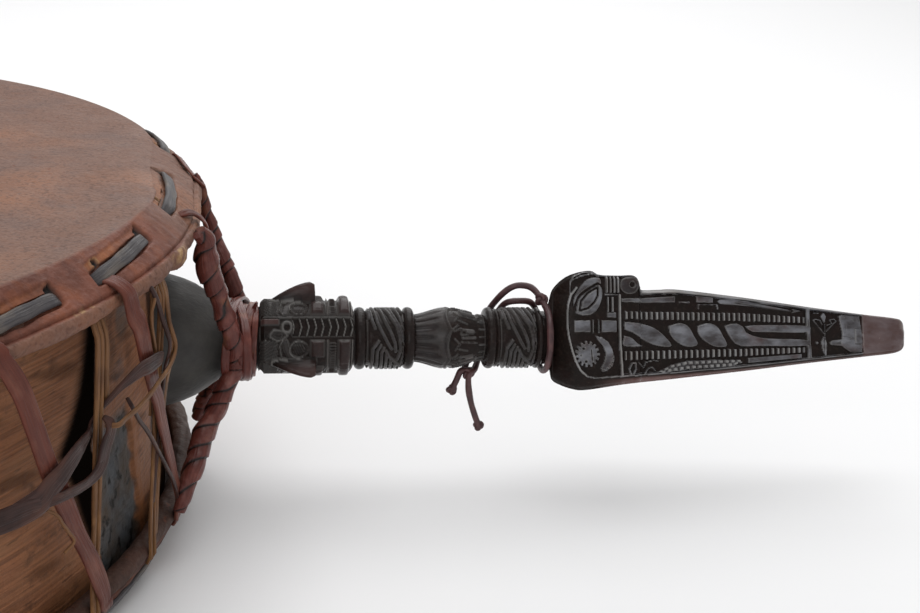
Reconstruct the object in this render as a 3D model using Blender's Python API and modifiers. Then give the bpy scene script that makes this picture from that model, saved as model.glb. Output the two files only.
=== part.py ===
"""A shaman's double-headed frame drum with a carved, dagger-shaped handle.

The drum lies on its lower skin. +Z is the drum's axis and +X runs along the handle. The origin
is the centre of the lower skin's flat underside. All sizes are in metres.
"""

import math

import bmesh
import bpy
import numpy as np
from mathutils import Vector

# Drum
DRUM_DEPTH = 0.140
CREASE_RADIUS = 0.213
UPPER_ROLL_RADIUS = 0.224
LOWER_ROLL_RADIUS = 0.2166
ROLL_DROP = 0.0148
ROLL_TUBE = 0.0039
SKIN = 0.002
FRAME_RADIUS = 0.209
FRAME_WALL = 0.008
GAP = 0.0003
TURNED_STEPS = 36
ROLL_STEPS = 5

# Windows in the skins' flaps, as (left end, right end) in degrees round from the handle, where
# the lacing shows. Four of them have their own places, and the rest are spread evenly.
NEAR_WINDOW = (-9.0, 4.0)
FAR_WINDOW = (15.0, 26.0)
LEFT_WINDOWS = ((-27.0, -17.0), (-42.0, -32.0))
EVEN_WINDOWS = 14
WINDOW_SPAN = 10.0

# Lacing
LACE_WIDTH = 0.006
LACE_THICK = 0.002
LACE_LIFT = 0.0006
SLANT_SWEEP = 11.0
UPRIGHT_SWEEP = -3.3
CORNER_SWEEP = 1.3
SLANT_BULGE = 0.004
BELT_WIDTH = 0.0065
BELT_HEIGHTS = (0.091, 0.079)
BELT_END = 16.0
BELT_OVER_EASE = 0.0016
BELT_UNDER_EASE = 0.0030

# Braces and collar
BRACE_RADIUS = 0.0033
BRACE_LIFT = 0.0038
BRACE_APEX = 0.2386
COLLAR_START = 0.2424
COLLAR_END = 0.2494
COLLAR_INNER = 0.0128
COLLAR_OUTER = 0.0152

# Handle: its axis is level, and its carved near face looks up by HANDLE_ROLL
HANDLE_HEIGHT = 0.071
HANDLE_ROLL = math.radians(24.0)
TIP = 0.535
SHOULDER = ((0.2060, 0.0285), (0.2135, 0.0264), (0.2180, 0.0250), (0.2228, 0.0229),
            (0.2276, 0.0198), (0.2304, 0.0177), (0.2336, 0.0157), (0.2380, 0.0146),
            (0.2415, 0.0140))
NECK_RADIUS = 0.0122
GROOVE_RADIUS = 0.0113
RINGS = ((0.2876, 0.2919), (0.3078, 0.3120), (0.3423, 0.3465), (0.3634, 0.3658))
RING_RADIUS = 0.0130
KNOTS = ((0.2927, 0.3073), (0.3478, 0.3630))
KNOT_RADIUS = 0.0131
KNOT_RELIEF = 0.0006
BUD = (0.3128, 0.3416)
BUD_NECK = 0.0097
BUD_RADIUS = 0.0128
BUD_RELIEF = 0.0007
CORD_SEAT = (0.3664, 0.3702)
CORD_SEAT_RADIUS = 0.0117
HEAD = (0.2500, 0.2866)
HEAD_RADIUS = 0.0150
HEAD_RISE = 0.0011
HEAD_STEPS = 11
EAR_HEIGHTS = (0.0095, 0.0040, 0.0060)
EAR_SPAN = (0.2545, 0.2700)

# Blade outlines as (place along the axis, height over it); the lower one is measured downwards
UPPER_EDGE = ((0.3712, 0.0125), (0.3735, 0.0190), (0.3766, 0.0243), (0.3820, 0.0270),
              (0.3872, 0.0279), (0.3925, 0.0275), (0.4010, 0.0262), (0.4080, 0.0255),
              (0.4106, 0.0225), (0.4125, 0.0186), (0.4190, 0.0197), (0.4352, 0.0187),
              (0.4570, 0.0167), (0.4795, 0.0144), (0.5030, 0.0116), (0.5246, 0.0087),
              (0.5315, 0.0076), (0.5345, 0.0058))
LOWER_EDGE = ((0.3712, 0.0125), (0.3735, 0.0165), (0.3766, 0.0196), (0.3820, 0.0214),
              (0.3872, 0.0223), (0.3925, 0.0224), (0.4031, 0.0209), (0.4190, 0.0192),
              (0.4352, 0.0178), (0.4570, 0.0150), (0.4795, 0.0123), (0.5030, 0.0101),
              (0.5246, 0.0076), (0.5315, 0.0068), (0.5345, 0.0052))
INRADIUS_SHARE = 0.56
CARVING_DEPTH = 0.0014
NEAR_COLUMNS = 13
REAR_COLUMNS = 9
NEAR_SPREAD = 60.0

# Tie cord
CORD_RADIUS = 0.0015
CORD_SPACING = 0.0074


def new_object(name, data, collection, colour, roughness, metallic=0.0):
    """Link a named object with its own Principled material."""
    material = bpy.data.materials.new(name)
    material.use_nodes = True
    shader = material.node_tree.nodes["Principled BSDF"]
    shader.inputs["Base Color"].default_value = (*colour, 1.0)
    shader.inputs["Roughness"].default_value = roughness
    shader.inputs["Metallic"].default_value = metallic
    data.materials.append(material)
    obj = bpy.data.objects.new(name, data)
    collection.objects.link(obj)
    return obj


def smooth(obj):
    obj.data.shade_smooth()
    obj.data.set_sharp_from_angle(angle=math.radians(25.0))


def turned(name, profile, closed, collection, colour, roughness, steps=TURNED_STEPS):
    """A profile of (radius, height) turned round Z; it runs down its outer side."""
    mesh = bpy.data.meshes.new(name)
    points = [(radius, 0.0, height) for radius, height in profile]
    edges = [(i, i + 1) for i in range(len(points) - 1)]
    if closed:
        edges.append((len(points) - 1, 0))
    mesh.from_pydata(points, edges, [])
    obj = new_object(name, mesh, collection, colour, roughness)
    screw = obj.modifiers.new("Turn", "SCREW")
    screw.axis = "Z"
    screw.steps = steps
    screw.render_steps = steps
    screw.use_merge_vertices = True
    screw.merge_threshold = 0.00001
    screw.use_smooth_shade = True
    return obj


class Skin:
    """One drum skin seen in section: a flat face, a sloping flap and a rolled edge.

    Places are (radius, depth), with depth counted from the skin's face into the drum.
    """

    def __init__(self, roll_radius, face, inward):
        self.face = face
        self.inward = inward
        self.crease = Vector((CREASE_RADIUS, 0.0))
        self.roll = Vector((roll_radius, ROLL_DROP))
        reach = self.roll - self.crease
        slope = math.atan2(reach.y, reach.x) - math.asin(ROLL_TUBE / reach.length)
        self.down = Vector((math.cos(slope), math.sin(slope)))
        self.out = Vector((math.sin(slope), -math.cos(slope)))
        self.flap_length = math.sqrt(reach.length_squared - ROLL_TUBE**2)

    def height(self, depth):
        return self.face + self.inward * depth

    def profile(self):
        """(radius, height) pairs down the outside, round the roll and back up the inside."""
        sweep = 2.0 * math.pi - math.acos((ROLL_TUBE - SKIN) / ROLL_TUBE)
        start = math.atan2(self.out.y, self.out.x)
        points = [Vector((0.0, 0.0)), self.crease - Vector((0.0014, 0.0)),
                  self.crease + self.down * 0.0014]
        for i in range(ROLL_STEPS + 1):
            angle = start + sweep * i / ROLL_STEPS
            ray = Vector((math.cos(angle), math.sin(angle)))
            points.append(self.roll + ROLL_TUBE * ray)
        inner = self.crease - SKIN * self.out
        inner += self.down * (SKIN - inner.y) / self.down.y
        points += [inner, Vector((0.0, SKIN))]
        pairs = [(p.x, self.height(p.y)) for p in points]
        return pairs if self.inward < 0 else pairs[::-1]

    def on_flap(self, share, lift):
        """Radius, height and outward tilt of a place lifted off the flap."""
        place = self.crease + self.down * self.flap_length * share + self.out * lift
        return place.x, self.height(place.y), self.tilt()

    def on_roll(self, turn, lift):
        """The same on the rolled edge; turn is 0 where the flap meets it and 1 at its side."""
        start = math.atan2(self.out.y, self.out.x)
        angle = start * (1.0 - turn)
        ray = Vector((math.cos(angle), math.sin(angle)))
        place = self.roll + (ROLL_TUBE + lift) * ray
        return place.x, self.height(place.y), angle * self.inward

    def tilt(self):
        return math.atan2(self.out.y, self.out.x) * self.inward


UPPER = Skin(UPPER_ROLL_RADIUS, DRUM_DEPTH, -1.0)
LOWER = Skin(LOWER_ROLL_RADIUS, 0.0, 1.0)


def station(degrees, place):
    """World place and outward direction of a strip at this angle round the drum."""
    radius, height, tilt = place
    angle = math.radians(degrees)
    outward = Vector((math.cos(angle), math.sin(angle), 0.0))
    normal = outward * math.cos(tilt) + Vector((0.0, 0.0, math.sin(tilt)))
    return outward * radius + Vector((0.0, 0.0, height)), normal


def strip(name, stations, width, thickness, collection, colour, roughness):
    """A flat strip through the stations: an open ribbon given its thickness by Solidify."""
    mesh = bpy.data.meshes.new(name)
    work = bmesh.new()
    pairs = []
    for i, (place, normal) in enumerate(stations):
        before = stations[max(i - 1, 0)][0]
        after = stations[min(i + 1, len(stations) - 1)][0]
        across = normal.cross(after - before).normalized() * width / 2.0
        pairs.append((work.verts.new(place + across), work.verts.new(place - across)))
    for (a, b), (c, d) in zip(pairs, pairs[1:]):
        work.faces.new((a, b, d, c))
    work.to_mesh(mesh)
    work.free()
    obj = new_object(name, mesh, collection, colour, roughness)
    solidify = obj.modifiers.new("Thickness", "SOLIDIFY")
    solidify.thickness = thickness
    solidify.offset = 0.0
    return obj


def ribbon_run(skin, start, end, steps):
    """Stations of a strip that lies along a skin's flap from one angle to another."""
    lift = LACE_LIFT + LACE_THICK / 2.0
    place = skin.on_flap(0.5, lift)
    return [station(start + (end - start) * i / steps, place) for i in range(steps + 1)]


def over_roll(skin, degrees):
    """Station of a strip where it turns over a rolled edge."""
    return station(degrees, skin.on_roll(0.5, LACE_LIFT + LACE_THICK / 2.0))


def slant_run(start, end):
    """Stations between the rolls of a slanting strip, which bulges over the upright one."""
    lift = LACE_LIFT + LACE_THICK / 2.0
    top = UPPER.on_roll(1.0, lift)
    foot = LOWER.on_roll(1.0, lift)
    run = []
    for share in (1.0 / 3.0, 2.0 / 3.0):
        radius = top[0] + (foot[0] - top[0]) * share + SLANT_BULGE
        height = top[1] + (foot[1] - top[1]) * share
        run.append(station(start + (end - start) * share, (radius, height, 0.0)))
    return run


def all_windows():
    """(left end, right end) of the windows of the long lacing, going round the drum."""
    first = sum(FAR_WINDOW) / 2.0
    last = sum(LEFT_WINDOWS[1]) / 2.0 + 360.0
    pitch = (last - first) / (EVEN_WINDOWS + 1)
    windows = []
    for i in range(1, EVEN_WINDOWS + 1):
        middle = first + pitch * i
        windows.append((middle - WINDOW_SPAN / 2.0, middle + WINDOW_SPAN / 2.0))
    for left, right in reversed(LEFT_WINDOWS):
        windows.append((left + 360.0, right + 360.0))
    return windows


def lacing_stations(windows):
    """The long strip: up to a window's right end, back along it, then slanting down."""
    run = []
    last_foot = windows[0][1] + UPRIGHT_SWEEP - WINDOW_SPAN
    for left, right in windows:
        foot = right + UPRIGHT_SWEEP
        run += ribbon_run(LOWER, last_foot, foot - CORNER_SWEEP, 3)
        run += [over_roll(LOWER, foot), over_roll(UPPER, right)]
        run += ribbon_run(UPPER, right - CORNER_SWEEP, left + CORNER_SWEEP, 2)
        landing = left + SLANT_SWEEP
        run += [over_roll(UPPER, left), *slant_run(left, landing), over_roll(LOWER, landing)]
        last_foot = landing + CORNER_SWEEP
    run += ribbon_run(LOWER, last_foot, last_foot + 2.0, 1)
    return run


def far_strip_stations():
    """The strip beside the handle on its far side, up to the window next to it."""
    left, right = FAR_WINDOW
    foot = right + UPRIGHT_SWEEP
    run = ribbon_run(LOWER, foot - 9.0, foot - CORNER_SWEEP, 2)
    run += [over_roll(LOWER, foot), over_roll(UPPER, right)]
    run += ribbon_run(UPPER, right - CORNER_SWEEP, left, 2)
    return run


def belt_stations(windows):
    """Two passes round the drum that go over the slants and under the uprights."""
    lift = LACE_LIFT + LACE_THICK / 2.0
    roll_gap = UPPER.on_roll(1.0, lift)[1] - LOWER.on_roll(1.0, lift)[1]
    passes = []
    for height in BELT_HEIGHTS:
        share = (UPPER.on_roll(1.0, lift)[1] - height) / roll_gap
        upright = UPPER.on_roll(1.0, lift)[0] * (1.0 - share) + LOWER.on_roll(1.0, lift)[0] * share
        over = upright + SLANT_BULGE + LACE_THICK + BELT_OVER_EASE
        under = upright - LACE_THICK - BELT_UNDER_EASE
        run = [station(BELT_END, (under, height, 0.0)),
               station(FAR_WINDOW[1] + UPRIGHT_SWEEP * share, (under, height, 0.0))]
        for left, right in windows:
            slant = left + SLANT_SWEEP * share
            straight = right + UPRIGHT_SWEEP * share
            run += [station(slant + half, (over, height, 0.0)) for half in (-1.6, 1.6)]
            run.append(station(straight - 0.9, (under, height, 0.0)))
        run.append(station(360.0 - BELT_END, (under, height, 0.0)))
        passes.append(run)
    first, second = passes
    middle = sum(BELT_HEIGHTS) / 2.0
    bend = station(BELT_END - 1.6, (first[0][0].xy.length, middle, 0.0))
    return first[::-1] + [bend] + second


def catmull_rom(points, spacing):
    """Places along a smooth curve through the points, about evenly spaced."""
    points = [Vector(p) for p in points]
    ends = [points[0] * 2.0 - points[1]] + points + [points[-1] * 2.0 - points[-2]]
    dense = []
    for a, b, c, d in zip(ends, ends[1:], ends[2:], ends[3:]):
        for i in range(16):
            t = i / 16.0
            dense.append(0.5 * ((2.0 * b) + (c - a) * t + (2.0 * a - 5.0 * b + 4.0 * c - d) * t**2
                                + (3.0 * b - a - 3.0 * c + d) * t**3))
    dense.append(points[-1])
    travelled = [0.0]
    for a, b in zip(dense, dense[1:]):
        travelled.append(travelled[-1] + (b - a).length)
    count = max(2, round(travelled[-1] / spacing) + 1)
    wanted = np.linspace(0.0, travelled[-1], count)
    axes = [np.interp(wanted, travelled, [p[i] for p in dense]) for i in range(3)]
    return [Vector(p) for p in zip(*axes)]


def tube(name, points, radius, collection, colour, roughness, resolution=2):
    """A round cord as a curve with filled caps."""
    curve = bpy.data.curves.new(name, "CURVE")
    curve.dimensions = "3D"
    curve.bevel_depth = radius
    curve.bevel_resolution = resolution
    curve.use_fill_caps = True
    spline = curve.splines.new("POLY")
    spline.points.add(len(points) - 1)
    for point, place in zip(spline.points, points):
        point.co = (*place, 1.0)
    return new_object(name, curve, collection, colour, roughness)


def brace_route(side):
    """A brace from the upper roll out to the handle's neck and back to the lower roll."""
    angles = {"upper": side * 7.5, "lower": side * 8.8}
    top = [station(angles["upper"], UPPER.on_roll(turn, BRACE_LIFT))[0] for turn in (0.1, 0.95)]
    foot = [station(angles["lower"], LOWER.on_roll(turn, BRACE_LIFT))[0] for turn in (0.95, 0.2)]
    apex_side = 0.0146 + BRACE_RADIUS + 0.0009
    apex = Vector((BRACE_APEX, side * apex_side, HANDLE_HEIGHT))
    upper_bow = top[1].lerp(apex, 0.5) + Vector((0.0012, 0.0, 0.0))
    lower_bow = foot[0].lerp(apex, 0.5) + Vector((0.0012, 0.0, 0.0))
    return [*top, upper_bow, apex, lower_bow, *foot]


def handle_place(along, angle, radius):
    """Place round the handle: angle 0 faces the carved side, 90 its upper edge."""
    turn = math.radians(angle)
    towards = math.cos(turn) * radius
    upwards = math.sin(turn) * radius
    return (along,
            -towards * math.cos(HANDLE_ROLL) + upwards * math.sin(HANDLE_ROLL),
            HANDLE_HEIGHT + towards * math.sin(HANDLE_ROLL) + upwards * math.cos(HANDLE_ROLL))


def smoothstep(value, low, high):
    t = min(max((value - low) / (high - low), 0.0), 1.0)
    return t * t * (3.0 - 2.0 * t)


def round_stations():
    """(place, radius, kind) down the turned part of the handle, from shoulder to blade."""
    run = [(x, r, "plain") for x, r in SHOULDER]
    run += [(0.2420, NECK_RADIUS, "plain"), (0.2496, NECK_RADIUS, "plain")]
    start, end = HEAD
    for i in range(HEAD_STEPS + 1):
        run.append((start + (end - start) * i / HEAD_STEPS, HEAD_RADIUS, "head"))
    for start, end in RINGS:
        ease = (end - start) * 0.22
        run += [(start, GROOVE_RADIUS, "plain"), (start + ease, RING_RADIUS, "plain"),
                (end - ease, RING_RADIUS, "plain"), (end, GROOVE_RADIUS, "plain")]
    for start, end in KNOTS:
        run += [(start, GROOVE_RADIUS, "plain"), (end, GROOVE_RADIUS, "plain")]
        for i in range(6):
            share = 0.05 + 0.9 * i / 5.0
            run.append((start + (end - start) * share, KNOT_RADIUS, "knot"))
    start, end = BUD
    for i in range(8):
        share = i / 7.0
        swell = math.sin(math.pi * share) ** 1.5
        run.append((start + (end - start) * share,
                    BUD_NECK + (BUD_RADIUS - BUD_NECK) * swell, "bud"))
    run += [(x, CORD_SEAT_RADIUS, "plain") for x in CORD_SEAT]
    return sorted(run)


def columns():
    """Angles round a section: close together on the near face, wider behind."""
    near = np.linspace(-NEAR_SPREAD, NEAR_SPREAD, NEAR_COLUMNS)
    rear = np.linspace(NEAR_SPREAD, 360.0 - NEAR_SPREAD, REAR_COLUMNS + 2)[1:-1]
    return [*near, *rear]


def ear_rise(along, angle):
    """Height of the three pointed ears, at 60, 180 and 300 degrees."""
    start, end = EAR_SPAN
    if not start < along <= end:
        return 0.0
    slope = ((along - start) / (end - start)) ** 0.8
    rise = 0.0
    for centre, height in zip((60.0, 180.0, 300.0), EAR_HEIGHTS):
        distance = abs((angle - centre + 180.0) % 360.0 - 180.0)
        rise += height * slope * max(0.0, 1.0 - distance / 26.0)
    return rise


def round_section(along, radius, kind):
    """Points (near, up) of a turned section with its carving."""
    section = []
    for angle in columns():
        turn = math.radians(angle)
        reach = radius
        if kind == "knot":
            reach += KNOT_RELIEF * math.cos(3.0 * turn - along / 0.0024)
        if kind == "bud":
            reach += BUD_RELIEF * math.cos(6.0 * turn) * smoothstep(radius, BUD_NECK, BUD_RADIUS)
        if kind == "head":
            reach += 0.0009 * math.cos(3.0 * turn) + ear_rise(along, angle)
        lift = HEAD_RISE if kind == "head" else 0.0
        section.append((math.cos(turn) * reach, math.sin(turn) * reach + lift))
    return section


def lens(along, up, middle, tilt, half_length, half_width):
    """True inside a pointed oval carved round the middle point."""
    across = along - middle[0]
    over = up - middle[1]
    run = across * math.cos(tilt) + over * math.sin(tilt)
    side = -across * math.sin(tilt) + over * math.cos(tilt)
    return abs(run) < half_length and abs(side) < half_width * (1.0 - (run / half_length) ** 2)


def carved_level(along, up, top, bottom):
    """Depth of the near face's carving: 0 on what stands up, 1 on the sunk ground."""
    border = min(top - up, up + bottom)
    if along < 0.3770 or border < 0.0022 or along > 0.5085:
        return 0.0
    raised = (
        0.3972 < along < 0.4000
        or 0.4820 < along < 0.4850
        or (along < 0.4 and 0.0019 < up < 0.0070)
        or math.hypot(along - 0.3854, up + 0.0069) < 0.0066
        or lens(along, up, (0.3855, 0.0152), math.radians(55.0), 0.0100, 0.0046)
        or (0.3915 < along < 0.4 and up > 0.0166)
        or any(lens(along, up, (middle, 0.0006), math.radians(-38.0), 0.0088, 0.0036)
               for middle in (0.4110, 0.4275, 0.4395, 0.4505))
        or (along > 0.4550 and (abs(up - 0.0032) < 0.0013 or abs(up + 0.0022) < 0.0014))
        or abs(along - 0.4912) < 0.0010
        or (0.4972 < along and abs(up) < 0.0060)
    )
    if raised:
        return 0.0
    dentils = 0.4 < along < 0.482 and min(abs(up - 0.0078), abs(up + 0.0068)) < 0.0018
    return 0.45 if dentils else 1.0


def blade_section(along):
    """Points (near, up) of the three-sided blade, with the carving sunk in its near face."""
    top = float(np.interp(along, *zip(*UPPER_EDGE)))
    bottom = float(np.interp(along, *zip(*LOWER_EDGE)))
    half = (top + bottom) / 2.0
    middle = (top - bottom) / 2.0
    face = half * INRADIUS_SHARE
    section = []
    for share in np.linspace(-1.0, 1.0, NEAR_COLUMNS):
        up = middle + half * math.copysign(abs(share) ** 0.92, share)
        corner = 0.16 * face * smoothstep(abs(share), 0.86, 1.0)
        level = carved_level(along, up, top, bottom)
        section.append((face - corner - CARVING_DEPTH * level, up))
    rear_edge = (-2.0 * face * 0.93, middle * 0.4)
    half_count = REAR_COLUMNS // 2
    corners = (section[-1], rear_edge, section[0])
    for start, end in zip(corners, corners[1:]):
        for i in range(1, half_count + 1):
            share = i / (half_count + 1)
            swell = 1.0 + 0.10 * math.sin(math.pi * share)
            section.append(tuple((a + (b - a) * share) * swell for a, b in zip(start, end)))
        if end == rear_edge:
            section.append(rear_edge)
    return section


def blade_places():
    """Sections along the blade: at its outline's points, then every few millimetres."""
    head = [x for x, _ in UPPER_EDGE if x < 0.4130]
    bars = [0.3790, 0.3968, 0.3974, 0.3998, 0.4818, 0.4822, 0.4848, 0.4852]
    even = list(np.arange(0.4150, 0.5300, 0.0034))
    end = [x for x, _ in UPPER_EDGE if x > 0.5300] + [TIP]
    places = sorted(head + bars + even + end)
    kept = [places[0]]
    for place in places[1:]:
        if place - kept[-1] > 0.0005:
            kept.append(place)
    return kept


def make_handle(collection):
    """The handle as a loft through unlike sections, closed at both ends."""
    run = [(x, round_section(x, r, kind)) for x, r, kind in round_stations()]
    run += [(x, blade_section(min(x, UPPER_EDGE[-1][0]))) for x in blade_places()]
    place, last = run[-1]
    run[-1] = (place, [(near * 0.62, up * 0.62) for near, up in last])
    mesh = bpy.data.meshes.new("handle")
    work = bmesh.new()
    rings = []
    for along, section in run:
        ring = []
        for near, up in section:
            y = -near * math.cos(HANDLE_ROLL) + up * math.sin(HANDLE_ROLL)
            z = HANDLE_HEIGHT + near * math.sin(HANDLE_ROLL) + up * math.cos(HANDLE_ROLL)
            ring.append(work.verts.new((along, y, z)))
        rings.append(ring)
    for ring, following in zip(rings, rings[1:]):
        for i in range(len(ring)):
            j = (i + 1) % len(ring)
            work.faces.new((ring[i], following[i], following[j], ring[j]))
    work.faces.new(rings[0])
    work.faces.new(rings[-1][::-1])
    bmesh.ops.recalc_face_normals(work, faces=work.faces)
    work.to_mesh(mesh)
    work.free()
    obj = new_object("handle", mesh, collection, (0.024, 0.018, 0.017), 0.38)
    smooth(obj)
    return obj


def cut_to_frame(handle, cutters):
    """Hollow the handle's base so that it sits on the frame's round wall."""
    bpy.ops.mesh.primitive_cylinder_add(
        vertices=TURNED_STEPS, radius=FRAME_RADIUS + GAP, depth=DRUM_DEPTH,
        location=(0.0, 0.0, DRUM_DEPTH / 2.0))
    cutter = bpy.context.object
    cutter.name = "frame_seat_cutter"
    cutter.rotation_euler.z = math.radians(90.0)
    for owner in list(cutter.users_collection):
        owner.objects.unlink(cutter)
    cutters.objects.link(cutter)
    cutter.hide_render = True
    cutter.display_type = "WIRE"
    boolean = handle.modifiers.new("Seat", "BOOLEAN")
    boolean.operation = "DIFFERENCE"
    boolean.solver = "EXACT"
    boolean.object = cutter


def cord_route():
    """The tie cord from its short end, behind the handle, over it, round it and back down."""
    short_end = [(0.3300, 0.0000, 0.0467), (0.3318, 0.0002, 0.0508), (0.3336, 0.0008, 0.0552)]
    first_rise = [handle_place(x, angle, r) for x, angle, r in (
        (0.3352, 240.0, 0.0152), (0.3388, 205.0, 0.0154), (0.3425, 170.0, 0.0156),
        (0.3463, 135.0, 0.0160), (0.3500, 104.0, 0.0178))]
    arch = [handle_place(x, angle, r) for x, angle, r in (
        (0.3545, 92.0, 0.0212), (0.3592, 88.0, 0.0222), (0.3640, 80.0, 0.0203))]
    round_neck = [handle_place(0.3683, angle, 0.0141) for angle in (52.0, 15.0, -25.0, -65.0)]
    round_neck += [handle_place(0.3683, angle, 0.0141) for angle in (-105.0, -145.0, -185.0)]
    round_neck.append(handle_place(0.3679, -225.0, 0.0144))
    back_over = [handle_place(x, angle, r) for x, angle, r in (
        (0.3645, 110.0, 0.0160), (0.3590, 104.0, 0.0163), (0.3535, 112.0, 0.0162),
        (0.3507, 135.0, 0.0158), (0.3472, 167.0, 0.0156), (0.3435, 202.0, 0.0154),
        (0.3400, 238.0, 0.0152))]
    long_end = [(0.3372, -0.0008, 0.0545), (0.3371, -0.0016, 0.0490), (0.3383, -0.0022, 0.0425),
                (0.3404, -0.0024, 0.0360), (0.3428, -0.0024, 0.0300)]
    return short_end + first_rise + arch + round_neck + back_over + long_end


def main():
    for obj in list(bpy.data.objects):
        bpy.data.objects.remove(obj, do_unlink=True)
    drum = bpy.data.collections.new("shaman_frame_drum")
    cutters = bpy.data.collections.new("cutters")
    bpy.context.scene.collection.children.link(drum)
    bpy.context.scene.collection.children.link(cutters)

    low = SKIN + GAP
    high = DRUM_DEPTH - SKIN - GAP
    inner = FRAME_RADIUS - FRAME_WALL
    wall = [(FRAME_RADIUS, high), (FRAME_RADIUS, low), (inner, low), (inner, high)]
    turned("frame", wall, True, drum, (0.21, 0.11, 0.05), 0.62)
    turned("upper_head", UPPER.profile(), False, drum, (0.25, 0.15, 0.12), 0.55)
    turned("lower_head", LOWER.profile(), False, drum, (0.23, 0.13, 0.10), 0.55)

    handle = make_handle(drum)
    cut_to_frame(handle, cutters)

    windows = all_windows()
    cane = (0.17, 0.07, 0.05)
    strip("cane_lacing", lacing_stations(windows), LACE_WIDTH, LACE_THICK, drum, cane, 0.5)
    strip("far_window_strip", far_strip_stations(), LACE_WIDTH, LACE_THICK, drum, cane, 0.5)
    near_run = ribbon_run(UPPER, NEAR_WINDOW[1], NEAR_WINDOW[0], 3)
    strip("near_window_strip", near_run, LACE_WIDTH, LACE_THICK, drum, cane, 0.5)
    belt = belt_stations(windows)
    strip("belt_lace", belt, BELT_WIDTH, LACE_THICK, drum, (0.10, 0.07, 0.06), 0.5)

    bound = (0.13, 0.04, 0.03)
    for name, side in (("near_brace", -1.0), ("far_brace", 1.0)):
        tube(name, catmull_rom(brace_route(side), 0.009), BRACE_RADIUS, drum, bound, 0.45)
    half = (COLLAR_END - COLLAR_START) / 2.0
    ring = [(COLLAR_OUTER, half * 0.6), (COLLAR_OUTER, -half * 0.6), (COLLAR_OUTER * 0.94, -half),
            (COLLAR_INNER, -half), (COLLAR_INNER, half), (COLLAR_OUTER * 0.94, half)]
    collar = turned("collar_wrap", ring, True, drum, bound, 0.4, 20)
    collar.rotation_euler.y = math.radians(90.0)
    collar.location = ((COLLAR_START + COLLAR_END) / 2.0, 0.0, HANDLE_HEIGHT)

    cord = catmull_rom(cord_route(), CORD_SPACING)
    tube("tie_cord", cord, CORD_RADIUS, drum, (0.05, 0.02, 0.015), 0.6)


if __name__ == "__main__":
    main()
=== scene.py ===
"""A shaman's double-headed frame drum with a carved dagger handle: its surfaces and finishes.

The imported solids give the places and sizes. This file makes the fine surfaces that stand for
them, their finishes, the pale studio round them and the camera. All sizes are in metres.
"""

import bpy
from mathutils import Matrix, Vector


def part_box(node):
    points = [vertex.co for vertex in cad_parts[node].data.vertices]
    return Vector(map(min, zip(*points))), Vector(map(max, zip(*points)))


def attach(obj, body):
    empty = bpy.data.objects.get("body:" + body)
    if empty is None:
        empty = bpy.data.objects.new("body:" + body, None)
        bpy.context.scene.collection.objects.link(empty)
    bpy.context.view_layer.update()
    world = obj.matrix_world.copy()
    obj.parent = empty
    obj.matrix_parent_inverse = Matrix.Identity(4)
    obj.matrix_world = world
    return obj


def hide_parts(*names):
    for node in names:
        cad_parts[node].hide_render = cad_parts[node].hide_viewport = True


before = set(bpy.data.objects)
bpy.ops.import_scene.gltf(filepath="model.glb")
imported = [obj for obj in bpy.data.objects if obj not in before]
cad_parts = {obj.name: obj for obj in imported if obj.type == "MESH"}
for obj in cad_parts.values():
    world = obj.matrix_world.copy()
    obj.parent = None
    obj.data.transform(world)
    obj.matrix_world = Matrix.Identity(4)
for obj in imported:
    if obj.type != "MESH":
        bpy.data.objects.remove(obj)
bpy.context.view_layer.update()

import math

import bpy
import numpy as np
from bpy.props import FloatProperty, FloatVectorProperty, PointerProperty
from mathutils import Matrix, Vector

bl_info = {
    "name": "Shaman frame drum",
    "version": (1, 0, 0),
    "blender": (4, 5, 0),
    "location": "3D View > Sidebar > Drum",
    "description": "Builds a laced, double-headed frame drum with a carved handle",
    "category": "Add Mesh",
}

MM = 0.001
# radius of a skin's rolled edge
ROLL_TUBE = 0.0039


def linear(code):
    """A hex sRGB colour as three linear values."""
    values = [int(code[i:i + 2], 16) / 255.0 for i in (1, 3, 5)]
    return tuple(v / 12.92 if v <= 0.04045 else ((v + 0.055) / 1.055) ** 2.4 for v in values)


def colour_setting(label, code):
    """One colour of the panel, with its hex default."""
    return FloatVectorProperty(name=label, description=f"Colour of the {label.lower()}",
                               default=linear(code), min=0.0, max=1.0, size=3, subtype="COLOR")


def length_setting(label, description, default):
    """One length of the panel, with its default in metres."""
    return FloatProperty(name=label, description=description, default=default, min=0.0,
                         precision=4, unit="LENGTH", subtype="DISTANCE")


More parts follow.
